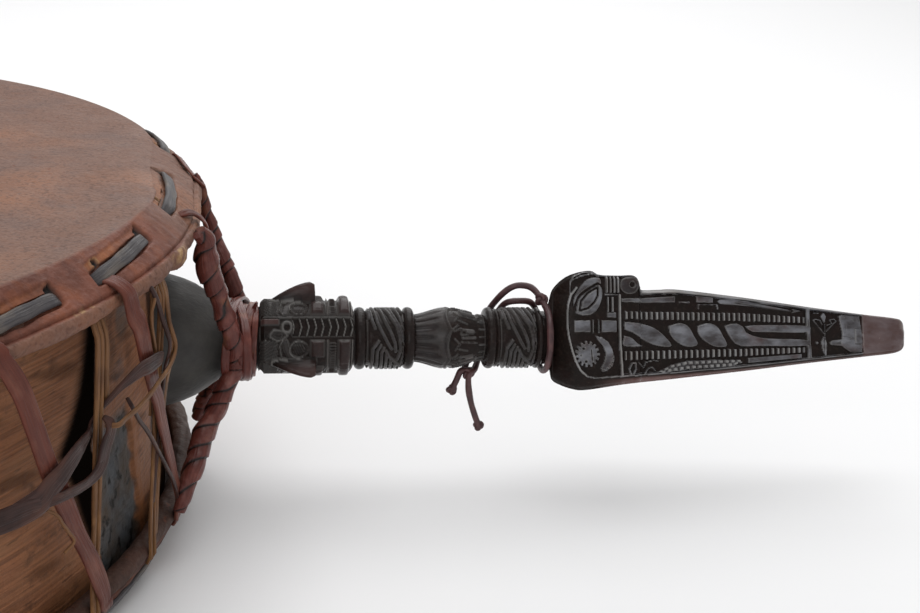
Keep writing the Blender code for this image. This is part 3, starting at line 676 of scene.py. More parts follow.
# windows of the long lacing's even part; degrees that each spans, that each slanting strip
# crosses, and at which the belts end
EVEN_WINDOWS = 14
WINDOW_SPAN = 10.0
SLANT_SWEEP = 11.0
BELT_END = 16.0
# degrees from a window's left end to its slanting strip, and from its right end to its
# upright bundle; height at which a slanting strip starts down, and its drop, in millimetres
SLANT_START = 1.3
UPRIGHT_START = 2.4
SLANT_TOP = 125.2
SLANT_DROP = 110.4
# millimetres round a flap for each degree, and down it from crease to roll
FLAP_ARC = 3.9
FLAP_DEPTH = 18.0
# gap between the bent ring and a skin
FRAME_PLAY = 0.0003


def all_windows():
    """The windows of the long lacing, going round the drum."""
    first = window_middle(FAR_WINDOW)
    last = window_middle(LEFT_WINDOWS[1]) + 360.0
    middles = first + (last - first) * np.arange(1, EVEN_WINDOWS + 1) / (EVEN_WINDOWS + 1)
    spread = [(m - WINDOW_SPAN / 2.0, m + WINDOW_SPAN / 2.0, 0.5, 0.5) for m in middles]
    return spread + [(w[0] + 360.0, w[1] + 360.0, *w[2:]) for w in reversed(LEFT_WINDOWS)]


def window_middle(window):
    """Degrees at the middle of a window."""
    return (window[0] + window[1]) / 2.0


def skins(sizes):
    """The upper skin, which has settled beside the handle, and the even lower one."""
    return (Skin(sizes, sizes.upper_roll, sizes.depth, -1.0, 0.0062),
            Skin(sizes, sizes.lower_roll, 0.0, 1.0, 0.0))


def round_angles(far_end, wide_step):
    """Degrees round the drum: close together beside the handle, wider from the far end on."""
    return np.concatenate([np.arange(-50.0, far_end, 0.22), np.arange(far_end, 310.0, wide_step)])


def window_shape(degrees, share, windows, seed):
    """What the windows do to a flap, each an array: depth sunk, raw edge, dark hole and pale
    raw edge. A window is a slot with a raw shelf over the sunk bed of its strip; one hole is
    in the shelf and the other hooks round the strip's right end. The dark holes and a shadow line
    under the shelf are painted shade."""
    shape = np.broadcast(degrees, share).shape
    sunk, raw, hole, pale = (np.zeros(shape) for _ in range(4))
    for left, right, low, high in windows:
        middle, half = (left + right) / 2.0, (right - left) / 2.0
        away = apart(degrees, middle)
        near = (np.abs(away) < half + 3.0) * 1.0
        own = seed + int(abs(left) * 7)
        a = away / half
        b = share - low - (high - low) * (a + 1.0) / 2.0
        b = b + 0.014 * waver(away, share * 6.0, size=2.4, seed=own)
        within = ease(1.0 - np.abs(a), -0.05, 0.03) * near
        slot = within * ease(b, -0.345, -0.315) * (1.0 - ease(b, 0.155, 0.185))
        bed = within * ease(b, -0.180, -0.150) * (1.0 - ease(b, 0.145, 0.170))
        sunk = np.maximum(sunk, 0.0005 * slot + 0.0012 * bed)
        shelf = slot * (1.0 - ease(b, -0.17, -0.14))
        raw = np.maximum(raw, shelf * (0.15 + 0.35 * ease(-a, -0.6, 0.8)))
        gap = np.hypot((a + 0.74) * half * FLAP_ARC, (b + 0.24) * FLAP_DEPTH)
        spot = (1.0 - ease(gap, 1.2, 1.7)) * near
        pale = np.maximum(pale, 0.6 * shelf * (1.0 - ease(gap, 2.0, 2.8)))
        hook = bell((a - 0.98) * half * FLAP_ARC, 0.75)
        hook = hook * ease(b, -0.33, -0.28) * (1.0 - ease(b, 0.02, 0.12)) * near
        cut = np.hypot((a - 0.90) * half * FLAP_ARC, (b + 0.20) * FLAP_DEPTH)
        hook = np.maximum(hook, (1.0 - ease(cut, 1.1, 1.6)) * near)
        # painted shadow along the shelf's lower edge, where it overhangs the strip
        line = within * bell(b + 0.155, 0.016) * 0.85
        hole = np.maximum.reduce([hole, spot, hook, line])
        sunk = np.maximum(sunk, 0.0018 * np.maximum(spot, hook))
    return sunk, raw * (1.0 - hole), hole, pale * (1.0 - hole)


def make_skin(sizes, skin, windows, name, node, material, seed):
    """A skin turned round the drum's axis: each section place moves out by broad lumps, puckers
    over the roll, and in at the windows."""
    rows = skin.rows()
    degrees = round_angles(46.0, 0.8)[None, :]
    turn = np.radians(degrees)
    radius, depth, out_r, out_d, share = (rows[:, k:k + 1] for k in range(5))
    outside = (share < INNER) * 1.0
    on_face = (share < 0.0) * 1.0
    folded = ease(share, 0.0, 0.3) * outside
    x, y = radius * np.cos(turn), radius * np.sin(turn)
    lump = 0.0005 * folded * waver(x, y, size=0.030, seed=seed)
    pucker = 0.00018 * folded * waver(degrees + 0 * share, share * 2.0, size=1.6, seed=seed + 1)
    sag = -0.0004 * on_face * (1.0 + waver(x, y, size=0.14, seed=seed + 2))
    sag = sag * ease(sizes.crease - radius, 0.002, 0.03)
    band = np.where(share < 1.0, share, 0.99) + 0.0 * degrees
    # the windows' dark holes and shadow lines are painted shade, carried in hole
    sunk, raw, hole, pale = window_shape(degrees, band, windows, seed)
    on_flap = ((share >= 0.0) & (share < 1.0)) * 1.0
    sunk, raw, hole, pale = (value * on_flap for value in (sunk, raw, hole, pale))
    bulge = 0.0
    for left, right, _, _ in windows:
        away = apart(degrees, (left + right) / 2.0)
        bulge = bulge - 0.0006 * bell(away, 0.62 * (right - left))
        end = bell(apart(degrees - left, 0.8), 1.7)
        bulge = bulge - 0.0007 * end * ease(share, 0.6, 1.0)
    groove = -0.0010 * bell(share - 0.955, 0.035) * outside
    lift = (lump + pucker + 0.0004 * folded + bulge * folded + groove) * outside - sunk + sag
    # beside the handle the crease is soft, and the edge is puckered into a few folds
    beside = bell(degrees - 4.0, 15.0) * (skin.slump > 0.0)
    crease = np.hypot(radius - sizes.crease, depth)
    lift = lift - 0.0013 * beside * bell(crease, 0.0045) * outside
    for middle, width, high in ((-13.6, 1.2, 0.0012), (-15.8, 0.9, -0.0009), (-10.8, 1.3, -0.0008)):
        fold = bell(degrees - middle, width) * ease(share, 0.75, 1.3) * outside
        lift = lift + high * fold * (skin.slump > 0.0)
    settled = skin.settled(degrees, np.where(share < INNER, share, 0.0))
    level = (share < 0.0) | (share > INNER)
    settled = settled * np.where(level, (radius / sizes.crease) ** 9, 1.0)
    radius = radius + lift * out_r - settled
    depth = np.maximum(depth + lift * out_d, 0.0) if skin.inward > 0 else depth + lift * out_d
    height = skin.face + skin.inward * (depth + 0.0 * degrees)
    grid = np.stack([radius * np.cos(turn), radius * np.sin(turn), height], -1)
    # pale worn spots on the roll beside the handle, and scuffs in the groove over it
    spots = waver(degrees * 1.0, share * 3.0, size=0.9, seed=seed + 5)
    worn = bell(degrees + 14.0, 1.3) * ease(share, 1.05, 1.25)
    worn = worn * (1.0 - ease(share, 2.3, 2.8)) * ease(spots, -0.3, 0.3)
    scuff = bell(degrees + 30.3, 1.2) * bell(share - 1.02, 0.07)
    worn = np.maximum(worn, scuff * ease(spots, -0.2, 0.3)) * (skin.slump > 0.0)
    zone = ease(share, -0.01, 0.02) * outside * (1.0 - 0.85 * ease(degrees, -17.0, -6.0)
                                                 * (1.0 - ease(degrees, 25.0, 40.0)))
    # the roll takes more of the face's greyer tone: partly its own colour, partly painted sheen
    zone = zone * (1.0 - 0.8 * ease(share, 0.97, 1.05))
    paint = np.stack(np.broadcast_arrays(zone, raw, hole, np.maximum(worn, 0.8 * pale)), -1)
    surface = Surface()
    surface.add(grid, paint=paint)
    piece = surface.finish(name, material)
    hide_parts(node)


def make_frame(sizes, material):
    """The bent ring: a wall section carried round the drum, with a slanting step where its ends
    lap, and a gentle unevenness of its outer side."""
    low = sizes.skin + FRAME_PLAY
    high = sizes.depth - sizes.skin - FRAME_PLAY
    outer, inner = np.linspace(high, low, 90), np.linspace(low, high, 12)
    height = np.concatenate([outer, inner])[None, :]
    outside = np.concatenate([np.ones_like(outer), np.zeros_like(inner)])[None, :]
    degrees = round_angles(40.0, 1.0)[:, None]
    turn = np.radians(degrees)
    base = sizes.frame_radius - sizes.frame_wall * (1.0 - outside)
    scaly = burnt_patch(degrees, height)
    lap = degrees + 14.6 + 40.0 * (height - 0.045) + 0.5 * waver(height, size=0.03, seed=3)
    lap_low = ease(0.074 - height, 0.0, 0.012)
    step = -0.0010 * ease(-lap, -0.3, 0.2) * (1.0 - ease(-lap, 5.0, 8.0)) * lap_low
    around = turn * sizes.frame_radius
    uneven = 0.0003 * waver(around, height * 1.5, size=0.03, seed=4) - 0.0003
    scales = -0.0005 * scaly * np.abs(waver(around, height * 1.3, size=0.0036, seed=6))
    settled = 0.0045 * bell(degrees - 5.0, 12.0) * ease(height, 0.126, 0.1377)
    radius = base + outside * (step + uneven + scales) - settled
    grid = np.stack([radius * np.cos(turn), radius * np.sin(turn), height + 0.0 * turn], -1)
    # painted shadow in a dark band beside the upright bundle, painted shade in the dark gap under
    # the splints, and faint streaks of stain
    left = np.interp(height, (0.020, 0.040, 0.056, 0.071, 0.079, 0.088, 0.107, 0.118),
                     (-24.8, -26.6, -28.0, -29.6, -27.8, -26.3, -24.5, -24.4))
    right = np.interp(height, (0.024, 0.045, 0.071, 0.105), (-24.6, -24.1, -22.9, -22.1))
    # band is painted shadow that the upright bundle and belts cast on the board
    band = ease(degrees - left, -0.8, 1.4) * (1.0 - ease(degrees - right, -0.2, 0.5))
    shade = 0.85 * ease(degrees, -9.2, -7.8) * (1.0 - ease(degrees, 2.0, 6.0))
    smoke = waver(around, height * 0.6, size=0.012, seed=9)
    cloud = 0.75 * ease(smoke, 0.0, 0.9) * bell(degrees + 16.8, 2.8)
    cloud = cloud * ease(height, 0.075, 0.09)
    streaks = 0.45 * ease(waver(around * 0.3, height, size=0.010, seed=8), 0.55, 1.2)
    # stains, painted shadow and painted shade, all painted near black on the board
    stain_and_painted_shade = np.maximum.reduce(np.broadcast_arrays(band, shade, cloud, streaks)) * outside
    edge = 0.9 * bell(lap - 0.9, 0.75) * lap_low * outside
    grey = np.maximum(scaly, 0.65 * ease(-smoke, -0.1, 0.7) * ease(height, 0.078, 0.092)
                      * np.exp(-(((degrees + 16.6) / 3.0) ** 4)) * outside)
    paint = np.stack(np.broadcast_arrays(stain_and_painted_shade * (1.0 - scaly), grey, edge, 0.0 * stain_and_painted_shade), -1)
    surface = Surface()
    surface.add(grid, ring=True, paint=paint)
    piece = surface.finish("bent_frame", material)
    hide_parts("frame")


def burnt_patch(degrees, height):
    """1 on the grey, cracked patch beside the handle and 0 off it."""
    left = degrees + 23.5
    right = -14.6 - 40.0 * (height - 0.045) - degrees
    ragged = 0.5 * waver(degrees, height * 260.0, size=2.0, seed=5)
    inside = np.minimum(left, right) + ragged
    return ease(inside, 0.0, 0.5) * ease(0.073 - height, 0.0, 0.008)


def line_place(sizes, degrees, height, lift):
    """A station on the straight line between the two rolls' outer sides."""
    top, foot = sizes.upper_roll + sizes.roll_tube, sizes.lower_roll + sizes.roll_tube
    share = (sizes.depth - sizes.roll_drop - height) / (sizes.depth - 2.0 * sizes.roll_drop)
    return station(degrees, top + (foot - top) * share + lift, height)


def beside_drum(sizes, places):
    """Stations from places of degrees, and millimetres of height and lift."""
    return [line_place(sizes, degrees, height * MM, lift * MM) for degrees, height, lift in places]


def slant_points(sizes, left, over, run):
    """A slanting strip: out of its window's left end, over the roll, down outside the upright
    strips and over the lower roll."""
    upper, lower = skins(sizes)
    foot = run[-1][0]
    return [upper.on_flap(left + 1.3, 0.64, -0.0012), upper.on_flap(left + 1.4, 0.76, 0.0004),
            upper.on_flap((left + over + 1.4) / 2.0, 0.90, 0.0010),
            upper.on_roll(over, 0.35, 0.0011), upper.on_roll(over, 0.9, 0.0012),
            *beside_drum(sizes, run),
            lower.on_roll(foot + 0.4, 1.0, 0.0012), lower.on_roll(foot + 0.8, 0.4, 0.0012),
            lower.on_flap(foot + 1.3, 0.8, 0.0011)]


def upright_points(sizes, degrees, drift, foot=None):
    """One splint of an upright bundle, tucked behind the upper roll and lapped over the lower
    one, or ending at the height `foot`."""
    upper, lower = skins(sizes)
    points = [upper.on_roll(degrees, 2.0, -0.0020), line_place(sizes, degrees, 0.1205, -0.0012)]
    heights = (0.114, 0.087, 0.058, 0.030) if foot is None else (0.114, foot + 0.010, foot)
    points += [line_place(sizes, degrees + drift * k / 4.0, height, 0.0002)
               for k, height in enumerate(heights)]
    if foot is None:
        end = degrees + drift
        points += [lower.on_roll(end, 1.0, 0.0008), lower.on_roll(end, 0.3, 0.0008),
                   lower.on_flap(end + 0.2, 0.8, 0.0008)]
    return points


def make_ribbons(sizes, material):
    """The strip showing in each window: it lies in the window's bed, dips into the hole at its
    right end and under the flap at its left end."""
    upper, lower = skins(sizes)
    surface = Surface()
    for number, window in enumerate([NEAR_WINDOW, FAR_WINDOW, *all_windows()]):
        left, right, low, high = window
        span = right - left
        points = [upper.on_flap(right - span * s, high + (low - high) * s, lift) for s, lift in
                  ((-0.01, -0.0030), (0.03, -0.0014), (0.10, -0.0003), (0.35, 0.0001),
                   (0.62, 0.0001), (0.86, -0.0004), (0.95, -0.0016), (1.00, -0.0032))]
        strip(surface, points, sizes.lace * 0.82, 0.0017, 60, 40 + number, groove=0.0001,
              widths=(0.85, 1.0, 1.0, 1.0, 1.0, 1.0, 0.9), count=16)
    under = all_windows()
    for number, (_, right, _, _) in enumerate(under):
        points = [lower.on_flap(d, 0.5, 0.0005) for d in np.linspace(right - 12.0, right - 1.0, 6)]
        strip(surface, points, sizes.lace * 0.9, 0.0016, 30, 80 + number)
    piece = surface.finish("window_ribbons", material)
    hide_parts("cane_lacing", "near_window_strip", "far_window_strip")


def make_slants(sizes, material):
    """The slanting strips: one from the left end of each window down to the lower roll."""
    surface = Surface()
    runs = [None] * EVEN_WINDOWS + list(NEAR_SLANTS)
    for number, ((left, _, _, _), known) in enumerate(zip(all_windows(), runs)):
        if known is None:
            over = left + SLANT_START
            run = [(over + (SLANT_SWEEP - SLANT_START) * s, SLANT_TOP - SLANT_DROP * s,
                    1.4 + 1.9 * math.sin(math.pi * s)) for s in (0.14, 0.34, 0.56, 0.78, 0.92)]
            known = (over, run)
            widths = (0.7, 0.8, 1.0, 1.1, 1.05, 0.95, 1.0)
        else:
            left -= 360.0
            widths = ((0.8, 1.1, 1.2, 1.15, 1.15, 1.15, 1.1, 1.0) if number == EVEN_WINDOWS else
                      (0.9, 1.3, 1.35, 1.35, 1.1, 0.95, 0.9, 0.85, 0.75, 0.7))
        strip(surface, slant_points(sizes, left, *known), sizes.lace, 0.0018, 110,
              120 + 3 * number, groove=0.0004, widths=widths, count=18)
    piece = surface.finish("slanting_strips", material)
    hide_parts("cane_lacing")


def make_uprights(sizes, material):
    """The upright bundles: split canes side by side from each window's right end."""
    surface = Surface()
    places = [w[1] + UPRIGHT_START for w in all_windows()[:-2]] + list(NEAR_UPRIGHTS)
    for number, middle in enumerate(places):
        fan = [(-0.78, 2.1), (-0.27, 2.0), (0.22, 1.8), (0.80, 2.3)]
        if number == len(places) - 2:
            fan = [(-0.36, 2.0), (0.18, 1.8), (0.80, 2.2)]
        if number == len(places) - 1:
            fan = [(-0.1, 1.6), (0.5, 1.5)]
        for k, (offset, width) in enumerate(fan):
            drift = 0.25 * math.sin(2.1 * number + 1.7 * k)
            foot = 0.093 if k == 2 and number == len(places) - 2 else None
            strip(surface, upright_points(sizes, middle + offset, drift, foot), width * MM,
                  0.0013 + 0.0002 * (k % 2), 56, 300 + 7 * number + k, count=10)
    piece = surface.finish("upright_strips", material)
    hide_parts("cane_lacing")


def woven_belt(height, rise):
    """The far part of a belt: over each slanting strip and under each upright bundle, as
    places of degrees, and millimetres of height and lift."""
    run = [(BELT_END, height, -4.0)]
    share = (SLANT_TOP - height) / SLANT_DROP
    for left, right, _, _ in all_windows()[:-2]:
        over = left + SLANT_START
        run.append((over + (SLANT_SWEEP - SLANT_START) * share, height + rise, 5.6))
        run.append((right + UPRIGHT_START, height, -2.2))
    return sorted(run)


def make_belts(sizes, dark, light):
    """The two strips woven round the drum, the fold that one of them ends in, and the loose
    splints beside the handle."""
    surface = Surface()
    for number, (height, rise, known, widths) in enumerate(
            zip((93.0, 82.0), (0.5, -0.5), BELTS, BELT_WIDTHS)):
        far = woven_belt(height, rise)
        far.append((BELT_END + 296.0, (height + known[0][1]) / 2.0, 3.0))
        strip(surface, beside_drum(sizes, far), sizes.belt * 0.9, 0.0015, 520, 500 + number,
              groove=0.0002, count=12)
        strip(surface, beside_drum(sizes, known), sizes.belt, 0.0013, 130, 510 + number,
              groove=0.0002, widths=widths, count=14)
    piece = surface.finish("belt_strips", dark)
    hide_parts("belt_lace")
    for name, wanted, material in (("loose_splints", 0, light), ("dark_splints", 1, dark)):
        loose = Surface()
        for number, (width, shade, places) in enumerate(SPLINTS):
            if shade == wanted:
                strip(loose, beside_drum(sizes, places), width * MM, 0.0010, 90, 600 + number,
                      count=10)
        loose.finish(name, material)


def make_window_tails(sizes, material):
    """The reddish strips that leave the windows beside the handle and cross to the braces."""
    upper, _ = skins(sizes)
    surface = Surface()
    near = [upper.on_flap(-6.9, 0.62, -0.0014), upper.on_flap(-6.5, 0.70, 0.0006),
            upper.on_flap(-5.6, 0.78, 0.0013), upper.on_flap(-5.0, 0.88, 0.0014),
            upper.on_roll(-4.9, 0.1, 0.0016), upper.on_roll(-5.2, 0.7, 0.0024),
            upper.on_roll(-5.8, 1.2, 0.0036), upper.on_roll(-6.4, 1.7, 0.0060)]
    far = [upper.on_flap(FAR_WINDOW[0] + 0.6, 0.56, -0.0010),
           upper.on_flap(FAR_WINDOW[0] - 0.1, 0.66, 0.0008), upper.on_flap(11.0, 0.84, 0.0011),
           upper.on_roll(8.0, 0.1, 0.0014), upper.on_roll(7.9, 0.7, 0.0026)]
    for number, points in enumerate((near, far)):
        strip(surface, points, 0.0036, 0.0012, 46, 700 + number, groove=0.0003,
              widths=(0.6, 0.9, 1.0, 1.0, 0.9, 0.8))
    piece = surface.finish("window_tails", material)
    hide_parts("near_window_strip", "far_window_strip")


def make_far_strip(sizes, material):
    """The upright beside the handle on its far side."""
    surface = Surface()
    middle = FAR_WINDOW[1] - 1.0
    for k, offset in enumerate((-0.55, 0.0, 0.55)):
        strip(surface, upright_points(sizes, middle + offset, 0.1 * k - 0.2), 0.0021, 0.0013,
              56, 760 + k, count=10)
    piece = surface.finish("far_upright", material)
    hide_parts("far_window_strip")


# ---------------------------------------------------------------- braces, collar and tie cord

# places of the braces' middles in millimetres, from the upper edge to the handle's neck and
# down to the lower edge
BRACES = {
    "near": ((226.5, -32.5, 127.5), (229.0, -31.0, 123.8), (228.8, -30.5, 118.1),
        (229.5, -29.5, 112.2), (231.5, -27.5, 104.6), (233.3, -26.0, 98.8), (235.8, -23.5, 88.7),
        (238.4, -20.5, 78.6), (239.5, -19.6, 71.3), (237.9, -20.5, 64.4), (233.2, -24.5, 54.9),
        (231.3, -27.0, 50.9), (227.9, -32.0, 45.5), (225.1, -38.0, 39.8), (223.7, -43.0, 36.0),
        (221.6, -48.0, 32.2), (220.0, -51.5, 27.0), (218.0, -53.0, 21.5)),
    "far": ((222.0, 34.5, 131.0), (224.3, 34.0, 127.0), (225.9, 32.0, 120.6), (226.7, 30.5, 115.9),
        (227.9, 29.5, 112.7), (229.8, 27.5, 107.6), (232.0, 25.0, 101.0), (234.5, 22.8, 95.1),
        (236.9, 20.7, 89.2), (238.8, 19.5, 82.9), (240.3, 19.0, 77.2), (240.6, 19.0, 69.4),
        (239.3, 19.5, 60.0), (233.7, 22.5, 47.0), (226.4, 26.8, 33.9), (224.0, 28.5, 27.4),
        (222.0, 30.0, 21.0))}


def wound_rope(surface, route, radius, pitch, rows, columns, seed, raised, swell):
    """A rope wound with strip: the radius rises across each turn of the strip and drops at the
    gap to the next, and the gap is painted dark as shade. swell scales it along its length."""
    path = smooth_curve(np.array(route), rows)
    along = travelled(path)[:, None]
    turn = full_turn(columns)[None, :]
    phase = along / pitch - turn / np.pi + 0.30 * waver(along, size=0.014, seed=seed)
    place = phase - np.floor(phase)
    lap = place**0.5 * (1.0 - ease(place, 0.90, 1.0))
    lump = 0.10 * waver(along, np.cos(turn) * 0.004, np.sin(turn) * 0.004, size=0.012,
                        seed=seed + 1)
    thick = radius * (0.90 + lump) + raised * lap
    thick = thick * np.interp(along / along[-1], np.linspace(0.0, 1.0, len(swell)), swell)
    section = np.stack([np.cos(turn) * thick, np.sin(turn) * thick], -1)
    outward = np.tile([0.35, 0.0, 1.0], (rows, 1))
    # painted shade: dark in the gaps between turns, fading across the start of each turn under the
    # last
    gap = 1.0 - ease(np.minimum(place, 1.0 - place), 0.03, 0.11)
    gap = np.maximum(gap, 0.5 * (1.0 - ease(place, 0.0, 0.25)))
    paint = np.stack([gap, 0 * gap, 0 * gap, 0 * gap], -1)
    surface.add(sweep(path, outward, section), paint=paint)


def make_braces(sizes, material):
    """The two ropes bound with strip; each is thick where it starts and thin at its foot."""
    for name, seed, pitch, thick, swell in (
            ("near", 4, 0.0086, 1.12,
             (0.75, 1.15, 1.1, 0.95, 0.95, 1.0, 1.0, 1.05, 1.1, 1.1, 0.95, 0.6)),
            ("far", 3, 0.0066, 1.0, (0.4, 0.6, 0.8, 0.95, *[1.0] * 7, 0.9))):
        surface = Surface()
        route = np.array(BRACES[name]) * MM
        wound_rope(surface, route, sizes.brace * thick, pitch, 460, 32, seed, 0.0009, swell)
        piece = surface.finish(f"bound_{name}_brace", material)
        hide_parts(f"{name}_brace")


def make_collar(sizes, material):
    """The strip wound round the neck: turns that cross one another, and wider ones that take in
    the two braces. Each is an oval path round the handle's axis that wanders along it."""
    surface = Surface()
    turn = full_turn(120)
    # middle along the handle, wander, phase, half width across, half height, strip's width: mm
    loops = [(242.4, 1.6, 0.3, 14.0, 13.8, 3.6), (244.9, 1.3, 2.4, 13.9, 13.7, 3.4),
             (243.6, 2.6, 4.1, 14.9, 14.6, 3.6), (243.0, 2.8, 1.2, 15.2, 14.9, 3.0),
             (245.9, 1.0, 5.3, 14.2, 14.1, 2.6), (240.4, 3.8, 0.0, 22.8, 15.2, 3.6),
             (239.6, 4.2, 3.1, 23.4, 15.6, 3.4), (241.4, 3.2, 1.5, 22.4, 14.8, 3.0)]
    for number, loop in enumerate(loops):
        middle, wander, side, up, width = (loop[k] * MM for k in (0, 1, 3, 4, 5))
        x = middle + wander * np.cos(turn + loop[2]) + 0.0003 * np.sin(3.0 * turn + number)
        path = np.stack([x, -side * np.cos(turn), sizes.handle_height + up * np.sin(turn)], 1)
        outward = np.stack([0.0 * turn, -np.cos(turn) / side, np.sin(turn) / up], 1)
        section = strip_section(width, 0.0015, 12, 0.0003)
        surface.add(ring_sweep(path, unit(outward), section), ring=True)
    # the cut end of a strip sticks up beside the head
    spike = [(0.2462, -0.002, 0.0835, 0, -1, 0.2), (0.2468, -0.003, 0.0862, 0, -1, 0.2),
             (0.2476, -0.004, 0.0886, 0, -1, 0.2)]
    strip(surface, spike, 0.0022, 0.0010, 16, 800, widths=(1.0, 0.8, 0.4))
    piece = surface.finish("collar_strips", material)
    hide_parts("collar_wrap")


def on_handle(sizes, x, near, up):
    """Places beside the handle's axis, near metres towards its carved side and up metres
    across it."""
    roll = sizes.handle_roll
    return np.stack([x + 0.0 * near, up * math.sin(roll) - near * math.cos(roll),
                     sizes.handle_height + near * math.sin(roll) + up * math.cos(roll)], -1)


def handle_place(sizes, along, angle, radius):
    """Place round the handle: angle 0 faces the carved side, 90 its upper edge."""
    turn = math.radians(angle)
    return tuple(on_handle(sizes, along, math.cos(turn) * radius, math.sin(turn) * radius))


def cord_route(sizes):
    """The tie cord from its short end, behind the handle, over it, round it and back down."""
    def round_handle(places):
        return [handle_place(sizes, *place) for place in places]

    return [(0.3300, 0.0000, 0.0467), (0.3318, 0.0002, 0.0508), (0.3336, 0.0008, 0.0552),
            *round_handle(((0.3352, 240, 0.0152), (0.3388, 205, 0.0154), (0.3425, 170, 0.0156),
                           (0.3463, 135, 0.0160), (0.3500, 104, 0.0178), (0.3545, 92, 0.0212),
                           (0.3592, 88, 0.0222), (0.3640, 80, 0.0203))),
            *round_handle(((0.3683, 52, 0.0141), (0.3683, 15, 0.0141), (0.3683, -25, 0.0141),
                           (0.3683, -65, 0.0141), (0.3683, -105, 0.0141), (0.3683, -145, 0.0141),
                           (0.3683, -185, 0.0141), (0.3679, -225, 0.0144))),
            *round_handle(((0.3645, 110, 0.0160), (0.3590, 104, 0.0163), (0.3535, 112, 0.0162),
                           (0.3507, 135, 0.0158), (0.3472, 167, 0.0156), (0.3435, 202, 0.0154),
                           (0.3400, 238, 0.0152))),
            (0.3372, -0.0008, 0.0545), (0.3371, -0.0016, 0.0490), (0.3383, -0.0022, 0.0425),
            (0.3404, -0.0024, 0.0360), (0.3428, -0.0024, 0.0300)]


def make_cord(sizes, material):
    """The tie cord: a round section carried along its smooth route, with overhand knots."""
    route = smooth_curve(np.array(cord_route(sizes), float), 420)
    turn = full_turn(14)
    around = np.stack([np.cos(turn), np.sin(turn)], 1)
    thick = sizes.cord * (0.92 + 0.05 * waver(np.linspace(0, 1, len(route)), size=0.05, seed=11))
    section = around[None] * thick[:, None, None]
    outward = route - (0.0, 0.0, sizes.handle_height)
    outward[:, 0] = 0.2
    surface = Surface()
    surface.add(sweep(route, outward, section))
    cord = surface.finish("tie_cord_thong", material)
    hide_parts("tie_cord")
    knots = Surface()
    for place, size, lean in (((0.3368, 0.0004, 0.0546), 0.00085, 0.3),
                              ((0.3302, 0.0000, 0.0470), 0.00070, 1.1),
                              ((0.3424, -0.0024, 0.0308), 0.00066, 0.5),
                              (handle_place(sizes, 0.3662, 68, 0.0172), 0.00085, 2.0)):
        t = full_turn(90)
        loop = 1.55 + np.cos(3 * t)
        trefoil = np.stack([loop * np.cos(2 * t), 0.9 * np.sin(3 * t), loop * np.sin(2 * t)],
                           1) * size
        c, s = math.cos(lean), math.sin(lean)
        bent = np.stack([trefoil[:, 0] * c - trefoil[:, 2] * s, trefoil[:, 1],
                         trefoil[:, 0] * s + trefoil[:, 2] * c], 1) + place
        ring = around * 0.0011 * (size / 0.00115) ** 0.5
        outward = bent - np.array(place) + (0, 1e-4, 0)
        knots.add(ring_sweep(bent, outward, ring), ring=True)
    knot = knots.finish("cord_knots", material)


# ---------------------------------------------------------------- carving


def segment_gap(x, y, start, end):
    """Distance from each (x, y) to a straight line between two points."""
    along = np.subtract(end, start)
    t = np.clip(((x - start[0]) * along[0] + (y - start[1]) * along[1]) / (along @ along), 0, 1)
    return np.hypot(x - start[0] - t * along[0], y - start[1] - t * along[1])


def line_gap(x, y, points):
    """Distance to a broken line through the points."""
    return np.minimum.reduce([segment_gap(x, y, a, b) for a, b in zip(points, points[1:])])


def outline_gap(x, y, points):
    """Distance to a closed outline, negative inside it. A place is inside where a level line
    from it crosses the outline an odd number of times."""
    points = [np.array(p, float) for p in points]
    crossings = np.zeros(np.broadcast(x, y).shape, bool)
    for (ax, ay), (bx, by) in zip(points, points[1:] + points[:1]):
        spans = (ay > y) != (by > y)
        rise = by - ay if by != ay else 1e-9
        crossings ^= spans & (x < (bx - ax) * (y - ay) / rise + ax)
    gap = line_gap(x, y, [*points, points[0]])
    return np.where(crossings, -gap, gap)


def box_gap(x, y, left, right, low, high):
    """Distance outside a level box, negative inside."""
    return np.maximum(np.maximum(left - x, x - right), np.maximum(low - y, y - high))


class Relief:
    """The level of a carving in mm over a grid of places, worked shape by shape."""

    def __init__(self, level):
        self.level = level

    def up(self, gap, height, soft, dome=0.0, reach=1.5):
        """Raise a shape of that height where gap is negative. Its sides slope over `soft`, and
        it swells by `dome` away from its outline."""
        inside = 1.0 - ease(gap, -soft, 0.0)
        swell = dome * (1.0 - (1.0 - np.clip(-gap / reach, 0.0, 1.0)) ** 2)
        self.level = np.maximum(self.level, self.level + (height + swell - self.level) * inside)

    def down(self, gap, depth, soft):
        """Cut a hollow of that depth where gap is negative."""
        inside = 1.0 - ease(gap, -soft, 0.05)
        self.level = np.minimum(self.level, self.level + (depth - self.level) * inside)


GROUND = -1.35

# the carved panel of one blade face, in mm along and up the face
PANEL = [
    (377.2, 20.5), (377.2, 17.3), (376.1, 13.2), (375.7, 8.7), (375.7, 4.8), (376.1, 1.0),
    (376.7, -2.1), (377.7, -6.3), (379.0, -10.4), (381.0, -14.3), (383.5, -16.6), (387.1, -17.4),
    (400.3, -16.7), (425.2, -15.2), (453.8, -13.1), (485.4, -10.1), (510.6, -7.8), (530.3, -5.8),
    (531.4, 0.5), (529.4, 6.6), (510.5, 9.0), (484.2, 11.9), (455.5, 15.6), (425.8, 18.5),
    (416.0, 18.4), (408.4, 18.2), (408.0, 22.0), (406.6, 24.6), (404.2, 25.7), (391.5, 25.5),
    (389.4, 26.2), (386.7, 27.0), (382.5, 26.7), (379.0, 25.2), (377.5, 23.4)]

RIM = [
    (379.9, 20.4), (377.5, 17.3), (376.3, 13.2), (375.9, 8.7), (375.9, 4.8), (376.3, 1.0),
    (376.9, -2.1), (377.9, -6.3), (379.2, -10.4), (381.2, -14.3), (383.5, -16.4)]

